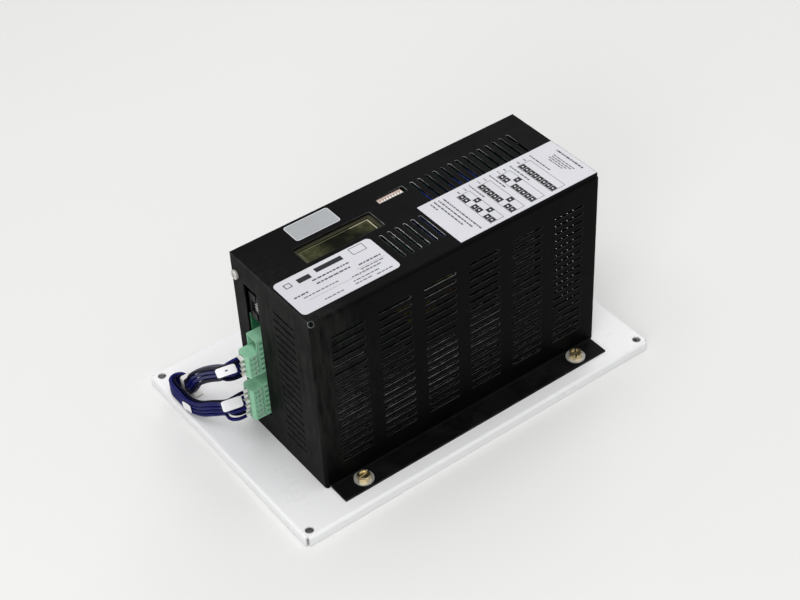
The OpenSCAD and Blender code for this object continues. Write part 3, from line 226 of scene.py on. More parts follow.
def makeFinish(name, s):
    # one shader for all the finishes: tone and roughness from two noises, grain from a bump, rounded-looking
    # edges from the Bevel node, wear and painted edge highlights where that node turns the normal, and painted
    # highlights on glass, scuffs, and dust raised low down as painted light, if asked for
    mat = bpy.data.materials.new(name)
    mat.use_nodes = True
    tree = mat.node_tree
    new, link = tree.nodes.new, tree.links.new
    shader = tree.nodes["Principled BSDF"]
    coord = new("ShaderNodeTexCoord").outputs["Object"]

    def noise(scale, detail=3, rough=0.55, warp=0, stretch=None):
        n = new("ShaderNodeTexNoise")
        n.inputs["Scale"].default_value = scale
        n.inputs["Detail"].default_value = detail
        n.inputs["Roughness"].default_value = rough
        n.inputs["Distortion"].default_value = warp
        link(stretched(stretch) if stretch else coord, n.inputs["Vector"])
        return n.outputs["Fac"]

    def stretched(scale):
        m = new("ShaderNodeMapping")
        m.inputs["Scale"].default_value = scale
        link(coord, m.inputs["Vector"])
        return m.outputs[0]

    def near(place, reach, rest):
        # 1 within half the reach of the place, falling to rest at the reach
        away = new("ShaderNodeVectorMath")
        away.operation = "DISTANCE"
        link(coord, away.inputs[0])
        away.inputs[1].default_value = place
        return remap(away.outputs["Value"], reach * 0.5, reach, 1, rest)

    def remap(value, a, b, c=0, d=1):
        # c at a and d at b, and held there beyond them
        r = new("ShaderNodeMapRange")
        for key, v in (("From Min", a), ("From Max", b), ("To Min", c), ("To Max", d)):
            r.inputs[key].default_value = v
        link(value, r.inputs["Value"])
        return r.outputs["Result"]

    def feed(node, values):
        # each value is another node's output, or a constant
        for key, v in values:
            if hasattr(v, "links"):
                link(v, node.inputs[key])
            else:
                node.inputs[key].default_value = v

    def mixed(share, a, b):
        m = new("ShaderNodeMix")
        m.data_type = "RGBA"
        feed(m, ((0, share), (6, a), (7, b)))
        return m.outputs[2]

    def maths(how, a, b):
        m = new("ShaderNodeMath")
        m.operation = how
        m.use_clamp = True
        feed(m, ((0, a), (1, b)))
        return m.outputs[0]

    rgba = lambda c: (*c, 1)
    tint = s["tint"]
    second = s.get("second", tuple(c * (1 - s.get("tone", 0)) for c in tint))
    tone = remap(noise(s["toneScale"], *shading["toneNoise"]), *s.get("toneRange", shading["toneRange"]))
    colour = mixed(tone, rgba(tint), rgba(second))
    if "traces" in s:  # the brick pattern turned to face Y
        spin = new("ShaderNodeMapping")
        spin.inputs["Rotation"].default_value = (math.pi / 2, 0, 0)
        link(coord, spin.inputs["Vector"])
        bricks = new("ShaderNodeTexBrick")
        for key, v in tracePattern.items():
            bricks.inputs[key].default_value = v
        link(spin.outputs[0], bricks.inputs["Vector"])
        share = maths("MULTIPLY", bricks.outputs["Fac"], shading["traceStrength"])
        colour = mixed(share, colour, rgba(s["traces"]))
    bevel = new("ShaderNodeBevel")
    bevel.samples = shading["bevelSamples"]
    bevel.inputs["Radius"].default_value = s["edge"]
    normal = bevel.outputs[0]
    faceNormal = new("ShaderNodeNewGeometry").outputs["Normal"]
    if "wearAndGlint" in s:  # colour and strength on the sharp edges: wear, and on the black paint and the plugs painted highlights
        dot = new("ShaderNodeVectorMath")
        dot.operation = "DOT_PRODUCT"
        feed(dot, ((0, normal), (1, faceNormal)))
        turned = remap(dot.outputs["Value"], *shading["wearGlintTurned"])
        patch = remap(noise(*shading["wearGlintNoise"]), *shading["wearGlintRange"])
        if "glintSpots" in s:  # painted highlight, most round some places: centre, reach and share; the rest entry is the share elsewhere
            share = s["glintRest"]
            for place, reach, full in s["glintSpots"]:
                share = maths("MAXIMUM", share, maths("MULTIPLY", near(place, reach, 0), full))
            patch = maths("MULTIPLY", patch, share)
        if "glintLean" in s:  # less painted highlight on edges whose rounding leans away from the direction: that, and their share
            direction, away = s["glintLean"]
            lean, along = new("ShaderNodeVectorMath"), new("ShaderNodeVectorMath")
            lean.operation, along.operation = "SUBTRACT", "DOT_PRODUCT"
            feed(lean, ((0, normal), (1, faceNormal)))
            feed(along, ((0, lean.outputs[0]), (1, direction)))
            patch = maths("MULTIPLY", patch, remap(along.outputs["Value"], *shading["glintLean"], away))
        wearGlintTint, strength = s["wearAndGlint"]
        colour = mixed(maths("MULTIPLY", maths("MULTIPLY", turned, patch), strength), colour, rgba(wearGlintTint))
    for key in ("haze", "scuff"):  # colour round some places, the second in upright streaks: painted highlights on the display glass, scuffs on the black paint
        if key in s:  # colour, strength, and a place and reach for each
            patchTint, strength, places = s[key]
            where = 0
            for place, reach in places:
                where = maths("ADD", where, near(place, reach, 0))
            streak = remap(noise(*shading["scuffSheenNoise"]), *shading["scuffSheenRange"]) if key == "scuff" else 1
            where = maths("MULTIPLY", where, maths("MULTIPLY", streak, strength))
            colour = mixed(where, colour, rgba(patchTint))
    if "dustAndFlangeLight" in s:  # thin dust on surfaces that face up, much stronger below a height as painted light on the shaded flange: colour, strength, and the strength below that height
        split = new("ShaderNodeSeparateXYZ")
        link(faceNormal, split.inputs[0])
        facing = remap(split.outputs["Z"], *shading["dustLightFacing"])
        dustAndLightTint, strength, (height, flangeLightStrength) = s["dustAndFlangeLight"]
        level = new("ShaderNodeSeparateXYZ")
        link(coord, level.inputs[0])
        share = remap(level.outputs["Z"], height, height + shading["flangeLightRise"], flangeLightStrength, strength)
        cloud = remap(noise(*shading["dustLightNoise"]), *shading["dustLightRange"])
        colour = mixed(maths("MULTIPLY", maths("MULTIPLY", facing, cloud), share), colour, rgba(dustAndLightTint))
    bump = new("ShaderNodeBump")
    grain = noise(s["grainScale"], *shading["grainNoise"])
    feed(bump, (("Strength", 1), ("Distance", s["grainDepth"]), ("Height", grain), ("Normal", normal)))
    low, high = (s["rough"] + way * s.get("roughSpread", 0.06) for way in (-1, 1))
    rough = remap(noise(*shading["roughNoise"]), *shading["roughRange"], low, high)
    feed(shader, (("Base Color", colour), ("Roughness", rough), ("Metallic", s.get("metal", 0)),
                  ("Specular IOR Level", s.get("specular", 0.5)), ("Coat Weight", s.get("coat", 0)),
                  ("Coat Roughness", shading["coatRough"]), ("Normal", bump.outputs[0])))
    return mat


# places and reaches of the painted highlights, round and in streaks, on the glass at the display's two ends
glassSheenPlaces = (((-0.092, -0.020, 0.174), 0.026), ((-0.028, -0.009, 0.174), 0.019))
glassStreakSheenPlaces = (((-0.089, -0.018, 0.174), 0.024), ((-0.029, -0.010, 0.174), 0.017))

finishes = {
    "white_paint": dict(tint=(0.85, 0.85, 0.86), tone=0.02, toneScale=9, rough=0.3, roughSpread=0.04,
                        specular=0.4, grainScale=420, grainDepth=0.000008, edge=0.0006,
                        wearAndGlint=((0.90, 0.90, 0.90), 0.3)),
    # on the black paint the light edge colour is painted highlight: slot rims, edges and a corner dot where
    # they catch the light, brightest at the spots and on edges leaning to the front left
    "black_paint": dict(tint=(0.0013, 0.0013, 0.0014), second=(0.0022, 0.0022, 0.0023), toneScale=12,
                        rough=0.46, roughSpread=0.05, specular=0.03, grainScale=650, grainDepth=0.000012,
                        edge=0.0010, wearAndGlint=((0.90, 0.90, 0.90), 1), glintRest=0.11,
                        glintLean=((-0.6, -0.5, 0.6), 0.15),
                        glintSpots=(((-0.026, -0.054, 0.178), 0.055, 1),
                                   ((0.024, 0.020, 0.178), 0.034, 0.8),
                                   ((0.054, 0.020, 0.178), 0.034, 0.8),
                                   ((0.084, 0.020, 0.178), 0.034, 0.7),
                                   ((0.112, 0.020, 0.178), 0.034, 0.6),
                                   ((-0.131, -0.082, 0.177), 0.005, 0.8),
                                   ((-0.063, -0.082, 0.063), 0.030, 0.45),
                                   ((-0.020, -0.082, 0.074), 0.032, 0.5),
                                   ((0.022, -0.082, 0.084), 0.032, 0.3),
                                   ((-0.106, -0.082, 0.078), 0.024, 0.3)),
                        scuff=((0.030, 0.029, 0.027), 0.6,
                               (((-0.170, -0.050, 0.110), 0.110), ((-0.124, -0.086, 0.158), 0.034))),
                        # the strength below 12 mm paints light onto the flange, which lies in the case's shade
                        dustAndFlangeLight=((0.016, 0.016, 0.018), 0.08, (0.012, 0.7))),
    "yellow_zinc": dict(tint=(0.72, 0.60, 0.34), second=(0.55, 0.46, 0.27), toneScale=180, rough=0.28,
                        metal=1, grainScale=1500, grainDepth=0.000006, edge=0.0003,
                        wearAndGlint=((0.85, 0.80, 0.62), 0.6)),
    "bright_zinc": dict(tint=(0.66, 0.65, 0.62), second=(0.50, 0.49, 0.46), toneScale=220, rough=0.38,
                        metal=0.6, specular=0.6, grainScale=1300, grainDepth=0.000006, edge=0.0002,
                        wearAndGlint=((0.80, 0.79, 0.76), 0.5)),
    # zinc screws tinted green: painted reflection of the green plug round them
    "plug_zinc_green_sheen": dict(tint=(0.60, 0.67, 0.62), second=(0.42, 0.48, 0.44), toneScale=260, rough=0.34,
                      metal=0.15, specular=0.6, grainScale=1300, grainDepth=0.000006, edge=0.0002),
    # tin pins made near white: their glints are painted into the colour
    "pin_tin_glint": dict(tint=(0.90, 0.89, 0.86), tone=0.05, toneScale=500, rough=0.3, specular=0.9,
                    grainScale=1800, grainDepth=0.000004, edge=0.00012),
    "tin": dict(tint=(0.66, 0.64, 0.58), tone=0.2, toneScale=500, rough=0.3, metal=1, grainScale=1800,
                grainDepth=0.000004, edge=0.00012),
    "board_green": dict(tint=(0.008, 0.085, 0.035), tone=0.25, toneScale=60, rough=0.34, specular=0.4,
                        edge=0.0005, traces=(0.016, 0.13, 0.06), wearAndGlint=((0.42, 0.62, 0.48), 0.9),
                        grainScale=700, grainDepth=0.000008),
    # the light edge colour on the plugs is painted highlight
    "terminal_green": dict(tint=(0.30, 0.60, 0.40), second=(0.24, 0.51, 0.335), toneScale=120, rough=0.4,
                           specular=0.4, grainScale=2600, grainDepth=0.000008, edge=0.00035,
                           wearAndGlint=((0.58, 0.80, 0.66), 0.5)),
    "black_plastic": dict(tint=(0.006, 0.006, 0.007), tone=0.3, toneScale=140, rough=0.46, specular=0.2,
                          grainScale=2400, grainDepth=0.00001, edge=0.0002, wearAndGlint=((0.05, 0.05, 0.05), 0.3)),
    "white_plastic": dict(tint=(0.80, 0.79, 0.76), second=(0.74, 0.73, 0.69), toneScale=90, rough=0.4,
                          specular=0.45, grainScale=1800, grainDepth=0.000006, edge=0.0002),
    "display_frame": dict(tint=(0.030, 0.029, 0.017), second=(0.050, 0.048, 0.028), toneScale=45, rough=0.5,
                          specular=0.2, grainScale=2000, grainDepth=0.000006, edge=0.0002),
    # the round and streaked patches at the display's two ends are painted highlights on the glass
    "display_glass": dict(tint=(0.0020, 0.0028, 0.0008), second=(0.026, 0.028, 0.010), toneScale=95,
                          toneRange=(0.5, 0.78), rough=0.34, specular=0.03,
                          haze=((0.075, 0.076, 0.034), 0.34, glassSheenPlaces),
                          scuff=((0.12, 0.12, 0.054), 0.6, glassStreakSheenPlaces),
                          grainScale=400, grainDepth=0.000002, edge=0.0001),
    "ribbon_grey": dict(tint=(0.25, 0.255, 0.27), tone=0.15, toneScale=120, rough=0.45, grainScale=1600,
                        grainDepth=0.00002, edge=0.0002),
    "switch_body": dict(tint=(0.74, 0.60, 0.54), second=(0.64, 0.49, 0.43), toneScale=200, rough=0.42,
                        specular=0.4, grainScale=2600, grainDepth=0.000006, edge=0.00012,
                        wearAndGlint=((0.86, 0.80, 0.76), 0.4)),
    "wire_blue": dict(tint=(0.003, 0.004, 0.072), second=(0.005, 0.007, 0.105), toneScale=70, rough=0.3,
                      roughSpread=0.05, specular=0.12, grainScale=260, grainDepth=0.00002, edge=0.0001),
    "wire_black": dict(tint=(0.0020, 0.0023, 0.016), tone=0.3, toneScale=70, rough=0.34, specular=0.04,
                       grainScale=260, grainDepth=0.00002, edge=0.0001),
    "ferrite": dict(tint=(0.035, 0.035, 0.038), tone=0.25, toneScale=300, rough=0.6, grainScale=2200,
                    grainDepth=0.00003, edge=0.0004),
    "coil_tape": dict(tint=(0.52, 0.33, 0.03), tone=0.15, toneScale=70, rough=0.25, grainScale=500,
                      grainDepth=0.00001, edge=0.0005),
    "aluminium": dict(tint=(0.55, 0.56, 0.58), tone=0.12, toneScale=60, rough=0.35, metal=1, grainScale=1200,
                      grainDepth=0.000008, edge=0.0002),
    "can_blue": dict(tint=(0.07, 0.13, 0.72), tone=0.15, toneScale=40, rough=0.22, grainScale=300,
                     grainDepth=0.00001, edge=0.0004),
    "can_black": dict(tint=(0.012, 0.012, 0.015), tone=0.3, toneScale=60, rough=0.25, grainScale=300,
                      grainDepth=0.00001, edge=0.0003),
    "choke_ring": dict(tint=(0.36, 0.34, 0.03), tone=0.2, toneScale=120, rough=0.45, grainScale=1500,
                       grainDepth=0.00002, edge=0.0006),
    "copper": dict(tint=(0.5, 0.17, 0.05), tone=0.25, toneScale=200, rough=0.3, metal=1, grainScale=900,
                   grainDepth=0.000006, edge=0.0005),
    "relay_case": dict(tint=(0.010, 0.045, 0.21), tone=0.15, toneScale=90, rough=0.35, grainScale=2000,
                       grainDepth=0.000008, edge=0.0003),
    "fuse_glass": dict(tint=(0.70, 0.73, 0.73), tone=0.1, toneScale=120, rough=0.12, specular=0.6, coat=0.5,
                       grainScale=300, grainDepth=0.000004, edge=0.0003),
    "label_white": dict(tint=(0.60, 0.60, 0.635), second=(0.565, 0.565, 0.60), toneScale=14, rough=0.4,
                        roughSpread=0.04, specular=0.3, grainScale=900, grainDepth=0.000004, edge=0.00005),
    "label_silver": dict(tint=(0.37, 0.385, 0.395), second=(0.315, 0.325, 0.335), toneScale=20, rough=0.38,
                         metal=0.1, roughSpread=0.02, specular=0.3, grainScale=900, grainDepth=0.000001,
                         edge=0.00005),
    # prints on the labels and the tags
    "ink_black": dict(tint=(0.006, 0.006, 0.008), tone=0.3, toneScale=200, rough=0.5, specular=0.2,
                      grainScale=1500, grainDepth=0.000003, edge=0.00002),
    "ink_grey": dict(tint=(0.045, 0.045, 0.055), second=(0.11, 0.11, 0.125), toneScale=420, rough=0.5,
                     specular=0.2, grainScale=1500, grainDepth=0.000003, edge=0.00002),
    "ink_white": dict(tint=(0.66, 0.66, 0.69), tone=0.05, toneScale=200, rough=0.45, specular=0.25,
                      grainScale=1500, grainDepth=0.000003, edge=0.00002),
    "tag_vinyl": dict(tint=(0.84, 0.84, 0.85), second=(0.79, 0.79, 0.80), toneScale=60, rough=0.34,
                      specular=0.4, grainScale=700, grainDepth=0.00001, edge=0.0002),
    "tie_nylon": dict(tint=(0.72, 0.72, 0.70), second=(0.62, 0.62, 0.60), toneScale=120, rough=0.32,
                      specular=0.5, grainScale=900, grainDepth=0.00001, edge=0.00025),
    "display_line": dict(tint=(0.50, 0.47, 0.33), tone=0.2, toneScale=90, rough=0.4, grainScale=900,
                         grainDepth=0.000004, edge=0.00002),
    # the cells share the glass's painted highlights at the two ends
    "display_cell": dict(tint=(0.0024, 0.0032, 0.0010), second=(0.022, 0.024, 0.009), toneScale=95,
                         toneRange=(0.5, 0.78), rough=0.34, specular=0.03,
                         haze=((0.064, 0.065, 0.029), 0.34, glassSheenPlaces),
                         scuff=((0.10, 0.10, 0.046), 0.6, glassStreakSheenPlaces),
                         grainScale=900, grainDepth=0.000002, edge=0.00002),
    "display_dull": dict(tint=(0.085, 0.082, 0.042), second=(0.15, 0.145, 0.075), toneScale=60, rough=0.4,
                         specular=0.3, grainScale=900, grainDepth=0.000004, edge=0.00002),
}
finish = {name: makeFinish(name + "Finish", s) for name, s in finishes.items()}
print("finishes made,", len(finish))

cadFinish = {sub["node"]: sub["material_slot"] for sub in frame["record"]["subparts"]}
cadFinish.update(plug_screws="plug_zinc_green_sheen", box_header_pins="pin_tin_glint")
for node, slotName in cadFinish.items():
    for holder in nodes[node].material_slots:
        holder.material = finish[slotName]
print("finishes on the CAD nodes")


# ---- wire loom: the same knots as in the part's source

loomSetup = {
    "wires": 8,
    "wireDiameter": 2.9,
    "wirePitch": 3.3,
    "sides": 20,
    "stepsPerSpan": 6,
    "turnRadius": 7.4,
    "turnLead": 2,
    "turnShare": 0.4,
    "startX": -17.0,
    "wireY": 81.0,
    "endGap": 0.1,
    "twinGap": 1.06 * 2.9,
    # height of the lowest pole, pitch, and each wire's pole
    "upperPole": (72.3, 5.08, (0, 0, 1, 1, 2, 2, 3, 3)),
    "lowerPole": (27.8, 5.08, (0, 1, 2, 2, 3, 3, 4, 5)),
    # 1 where a wire shares its lower pole with another
    "lowerPaired": (0, 0, 1, 1, 1, 1, 0, 0),
    "black": (1, 7),
    # middle of the bundle, two wires across and four up
    "knots": ((-26.6, 98, 67), (-27, 113, 55), (-27.2, 127.5, 42), (-27.6, 139.5, 29.5),
              (-27.7, 147, 18.6), (-27, 153.6, 11.5), (-26.4, 160.6, 11), (-28, 164.5, 11),
              (-31.9, 166.1, 11), (-35.8, 164.5, 11), (-37.35, 160.6, 10.8), (-37.1, 150, 9.2),
              (-36.6, 138.5, 8.8), (-34.2, 124, 13.2), (-30, 109.5, 22), (-26.2, 99, 28)),
}


def loomAxes(s):
    # at each knot: direction along the loom, side = up x direction, and rise = direction x side
    knots = np.array(s["knots"], float)
    d = np.empty_like(knots)
    d[1:-1] = knots[2:] - knots[:-2]
    d[0], d[-1] = knots[1] - knots[0], knots[-1] - knots[-2]
    d = unit(d)
    side = unit(np.cross([0, 0, 1], d))
    return knots, d, side, np.cross(d, side)


def plugTurn(end, side, toward, s):
    # straight out of the plug, then a quarter of an ellipse towards the next knot:
    # x = start - lead - (R + side * half) sin a, y = cy - (cy - y0) cos a, z = z0 + share (z1 - z0) (1 - cos a)
    a = np.radians([0, 22.5, 45, 67.5, 90])
    wide = s["turnRadius"] + side * s["wirePitch"] / 2
    centreY = s["wireY"] + s["turnRadius"]
    turn = np.stack([end[0] - s["turnLead"] - wide * np.sin(a), centreY - (centreY - end[1]) * np.cos(a),
                     end[2] + (toward[2] - end[2]) * s["turnShare"] * (1 - np.cos(a))], -1)
    return np.concatenate([[end], turn])


def knotSlopes(p):
    # the slope at a knot b between a and c weighs its two chords by each other's length:
    # ((b - a) |c - b| / |b - a| + (c - b) |b - a| / |c - b|) / (|b - a| + |c - b|)
    chord = np.diff(p, axis=0)
    size = np.linalg.norm(chord, axis=1, keepdims=True)
    slope = (chord[:-1] * size[1:] / size[:-1] + chord[1:] * size[:-1] / size[1:]) / (size[:-1] + size[1:])
    return slope, size


def hermite(t, b, m0, c, m1):
    # cubic from b to c with the slopes m0 and m1, t from 0 to 1
    return ((1 - 3 * t ** 2 + 2 * t ** 3) * b + (t - 2 * t ** 2 + t ** 3) * m0
            + (3 * t ** 2 - 2 * t ** 3) * c + (t ** 3 - t ** 2) * m1)


def smoothPath(p, steps):
    # cubic through the knots, straight in its first and last span
    slope, size = knotSlopes(p)
    b, m0, c, m1 = (q[:, None] for q in (p[1:-2], slope[:-1] * size[1:-1], p[2:-1], slope[1:] * size[1:-1]))
    curve = hermite((np.arange(steps) / steps)[None, :, None], b, m0, c, m1)
    return np.concatenate([p[:1], curve.reshape(-1, 3), p[-2:]])


def wireRoute(w, s):
    # one wire: turn out of the upper plug, its place in the bundle at every knot, turn into the lower plug
    knots, d, side, rise = loomAxes(s)
    row, col = w // 2, -1 if w % 2 == 0 else 1
    low, pitch, poles = s["upperPole"]
    upper = np.array([s["startX"] - s["endGap"], s["wireY"] - col * s["twinGap"] / 2, low + poles[w] * pitch])
    low, pitch, poles = s["lowerPole"]
    lower = np.array([s["startX"] - s["endGap"], s["wireY"] + s["lowerPaired"][w] * col * s["twinGap"] / 2,
                      low + poles[w] * pitch])
    middle = knots + side * col * s["wirePitch"] / 2 + rise * (row - 1.5) * s["wirePitch"]
    upperTurn, lowerTurn = plugTurn(upper, col, middle[0], s), plugTurn(lower, -col, middle[-1], s)
    return smoothPath(np.concatenate([upperTurn, middle, lowerTurn[::-1]]), s["stepsPerSpan"])


for w in range(loomSetup["wires"]):
    route = toRow(wireRoute(w, loomSetup))
    rings = tubeRings(route, loomSetup["wireDiameter"] / 2000, loomSetup["sides"])
    slotName, node = ("wire_black", "black_wires") if w in loomSetup["black"] else ("wire_blue", "blue_wires")
    piece = newPiece(f"loom_wire_{w + 1}", rings.reshape(-1, 3), loftFaces(len(route), loomSetup["sides"]),
                     finish[slotName], slotName, smooth=50, replaces=(node,))
print("loom wires", loomSetup["wires"])


# ---- collars at the wire ends: a stadium or round outline carried along X, flared where the wire goes in

collarSetup = {
    # place along X from the wire's end, and radius as a share of the wire's: inside, then outside of the mouth
    "inner": ((-0.1, 1.06), (-0.6, 1.11)),
    "flare": ((-0.6, 1.12), (-0.6, 1.15), (-0.3, 1.15), (0.2, 1.08), (0.7, 1.0), (1.4, 0.96), (3.0, 0.94),
              (3.2, 0.90)),
    "sides": 32,
    # metal sleeve in the plug: from, to, diameter, sides
    "sleeve": (3.0, 12.5, 1.5, 12),
    # number of the poles in the upper and the lower plug, and the lower ones that hold two wires
    "poles": (4, 6),
    "lowerTwins": (2, 3),
}


def collarMesh(z, twin, s, loom):
    # outline: circle of the wire's radius times the flare, pulled apart along Y by the pair's distance;
    # the surface runs from the bottom of the mouth out over its lip and along the outside to the plug
    a = np.linspace(0, 2 * np.pi, s["sides"], endpoint=False)
    spread = loom["twinGap"] / 2 if twin else 0
    p, r = np.array(s["inner"] + s["flare"]), loom["wireDiameter"] / 2
    x = np.repeat(loom["startX"] + p[:, :1], s["sides"], 1)
    y = loom["wireY"] + np.sign(np.round(np.cos(a), 6)) * spread + p[:, 1:] * r * np.cos(a)
    shell = np.stack([x, y, z + p[:, 1:] * r * np.sin(a)], -1)
    start, end, diameter, sides = s["sleeve"]
    sleeve = toRow([[loom["startX"] + x, loom["wireY"], z] for x in (start, end)])
    sleeveRings = tubeRings(sleeve, diameter / 2000, sides)
    return joined([(toRow(shell.reshape(-1, 3)), loftFaces(len(shell), s["sides"])),
                   (sleeveRings.reshape(-1, 3), loftFaces(2, sides))])


def collarMeshes(s, loom):
    (upper, lower), upperLow, lowerLow = s["poles"], loom["upperPole"][0], loom["lowerPole"][0]
    pitch = loom["upperPole"][1]
    return ([collarMesh(upperLow + pitch * i, True, s, loom) for i in range(upper)]
            + [collarMesh(lowerLow + pitch * i, i in s["lowerTwins"], s, loom) for i in range(lower)])


collars = collarMeshes(collarSetup, loomSetup)
newPiece("wire_end_collars", *joined(collars), finish["white_plastic"], "white_plastic", smooth=45,
         replaces=("wire_collars",))
print("collars", len(collars))


# ---- marker tags: one vinyl tag on the hairpin's outside and two flags on the wires at the plugs

tagSetup = {
    # knot, side, distance of the inner face, shift along the loom, rise, length, height, curl
    "tag": (12, -1, 3.3, 1.5, -0.3, 11, 7.5, 0.25),
    # middle, length, width, tilt about X, turn about Z, curl
    "flags": (((-30.85, 76.9, 87.05), 16, 7.6, 26, -12, 0.5), ((-29.3, 78.2, 50.2), 16.5, 8.5, 48, -12, 0.6)),
    "thickness": 0.8,
    # how much the corners draw in, and how thin the rim gets
    "pinch": 0.10,
    "rim": 0.35,
    "columns": 25,
    "rows": 13,
}
dashSetup = {
    # a small printed dash in the middle of the upper flag
    "length": 2.2,
    "width": 1.3,
    "lift": 0.44,
    "thickness": 0.04,
    "pinch": 0.10,
    "rim": 0.35,
    "columns": 7,
    "rows": 5,
}


def vinylSheet(centre, along, across, out, length, height, curl, s):
    # C + u p L/2 A + v p H/2 B + (face t/2 e + curl (u^2 - v^2 / 4)) N on a grid (u, v) in -1..1;
    # p = 1 - pinch u^8 v^8 draws the corners in, e = rim + (1 - rim) sqrt(1 - max(|u|, |v|)^6) thins the rim
    u, v = np.meshgrid(np.linspace(-1, 1, s["columns"]), np.linspace(-1, 1, s["rows"]), indexing="ij")
    pinch = 1 - s["pinch"] * u ** 8 * v ** 8
    rim = s["rim"] + (1 - s["rim"]) * np.clip(1 - np.maximum(abs(u) ** 6, abs(v) ** 6), 0, 1) ** 0.5
    bow = curl * (u ** 2 - v ** 2 / 4)
    middle = (np.array(centre) + (u * length / 2 * pinch)[..., None] * along
              + (v * height / 2 * pinch)[..., None] * across)
    sheets = [middle + (face * s["thickness"] / 2 * rim + bow)[..., None] * out for face in (-1, 1)]
    n, m = u.shape
    i, j = np.meshgrid(np.arange(n - 1), np.arange(m - 1), indexing="ij")
    q = np.stack([i * m + j, (i + 1) * m + j, (i + 1) * m + j + 1, i * m + j + 1], -1).reshape(-1, 4)
    first = n * m
    edge = np.concatenate([np.arange(n) * m, (n - 1) * m + np.arange(1, m),
                           np.arange(n - 2, -1, -1) * m + m - 1, np.arange(m - 2, 0, -1)])
    after = np.roll(edge, -1)
    wall = np.stack([edge, after, after + first, edge + first], -1)
    faces = np.concatenate([q[:, ::-1], q + first, wall])
    if np.dot(np.cross(along, across), out) < 0:
        faces = faces[:, ::-1]
    return toRow(np.concatenate([sheets[0].reshape(-1, 3), sheets[1].reshape(-1, 3)])), faces.tolist()


def flagAxes(tilt, turn):
    # X, Y and Z turned by tilt about X, then by turn about Z
    a, b = math.radians(tilt), math.radians(turn)
    first = np.array([[1, 0, 0], [0, math.cos(a), -math.sin(a)], [0, math.sin(a), math.cos(a)]])
    second = np.array([[math.cos(b), -math.sin(b), 0], [math.sin(b), math.cos(b), 0], [0, 0, 1]])
    return (second @ first).T


def markerTags(s):
    knot, side, off, shift, lift, length, height, curl = s["tag"]
    knots, d, sideways, rise = (q[knot] for q in loomAxes(loomSetup))
    centre = knots + d * shift + rise * lift + sideways * side * (off + s["thickness"] / 2)
    sheets = [vinylSheet(centre, d, rise, sideways * side, length, height, curl, s)]
    for middle, length, width, tilt, turn, curl in s["flags"]:
        sheets.append(vinylSheet(middle, *flagAxes(tilt, turn), length, width, -curl, s))
    return sheets


newPiece("marker_tags", *joined(markerTags(tagSetup)), finish["tag_vinyl"], "white_plastic", smooth=40,
         replaces=("wire_markers",))


def flagDash(s):
    middle, _, _, tilt, turn, _ = tagSetup["flags"][0]
    along, across, out = flagAxes(tilt, turn)
    return vinylSheet(np.array(middle) + out * s["lift"], along, across, out, s["length"], s["width"], 0, s)


newPiece("marker_print", *flagDash(dashSetup), finish["ink_grey"], "black_plastic", smooth=40)
print("marker tags", 1 + len(tagSetup["flags"]))


# ---- cable tie: a toothed strap round the loom, its head and the cut end of the strap

tieSetup = {
    # knot before the tie and its share of the span to the next knot
    "knot": 5,
    "share": 0.65,
    "slack": 0.8,
    "thick": 1.0,
    "width": 4.6,
    "corner": 2.0,
    "seat": 0.1,
    "tooth": 0.16,
    "toothPitch": 1.15,
    "loopPoints": 176,
    # chamfer of the strap's edges, and plain margin beside the teeth
    "chamfer": 0.25,
    "margin": 1.1,
    "head": (3.6, 6.2, 5.0),
    "headDrop": 4.5,
    # cut end of the strap below the head: size, shift along X, overlap with the head
    "tail": (1.1, 4.2, 3.4),
    "tailShift": 0.2,
    "tailOverlap": 0.3,
    "rounding": (0.16, 0.12),
}


def tieCentre(s, loom):
    # the point of the loom's middle line between two knots
    knots, k = np.array(loom["knots"], float), s["knot"]
    slope, size = knotSlopes(knots)
    return hermite(s["share"], knots[k], slope[k - 1] * size[k], knots[k + 1], slope[k] * size[k])


def strapLoop(w, h, r, n, samples=240):
    # rounded rectangle w x h with corner radius r, from so many samples round its corners evenly cut into n
    # points by its running length; also the directions outward and the running length at each point
    a = np.linspace(0, 2 * np.pi, samples, endpoint=False)
    p = np.stack([np.sign(f) * (size / 2 - r) + r * f for f, size in ((np.cos(a), w), (np.sin(a), h))], -1)
    q = np.concatenate([p, p[:1]])
    run = np.concatenate([[0], np.cumsum(np.linalg.norm(np.diff(q, axis=0), axis=1))])
    at = np.linspace(0, run[-1], n, endpoint=False)
    line = np.stack([np.interp(at, run, q[:, 0]), np.interp(at, run, q[:, 1])], -1)
    along = unit(np.roll(line, -1, 0) - np.roll(line, 1, 0))
    return line, np.stack([along[:, 1], -along[:, 0]], -1), at


def strapMesh(centre, s, loom):
    # strap section (out, y) carried round the loop; the teeth lift its outside by tooth * sin^2
    w = 2 * loom["wirePitch"] + s["slack"] + 2 * s["thick"]
    inner = 4 * loom["wirePitch"] + s["slack"]
    low, high = centre[2] - inner / 2 - 2 * s["thick"] + s["seat"], centre[2] + inner / 2 + s["thick"]
    line, outward, at = strapLoop(w, high - low, s["corner"], s["loopPoints"])
    half, t, c, e = s["width"] / 2, s["thick"], s["chamfer"], s["margin"]
    section = np.array([(0, -half + c), (-c, -half), (-t + c, -half), (-t, -half + c), (-t, half - c),
                        (-t + c, half), (-c, half), (0, half - c), (0, half - e), (0, -half + e)])
    toothed = np.array([0, 0, 0, 0, 0, 0, 0, 0, 1, 1])
    lift = -s["tooth"] * np.sin(np.pi * at / s["toothPitch"]) ** 2
    out = section[None, :, 0] + toothed[None] * lift[:, None]
    x = centre[0] + line[:, :1] + outward[:, :1] * out
    z = (low + high) / 2 + line[:, 1:] + outward[:, 1:] * out
    y = np.broadcast_to(centre[1] + section[None, :, 1], x.shape)
    return toRow(np.stack([x, y, z], -1).reshape(-1, 3)), closedGridFaces(*x.shape).tolist(), w, high


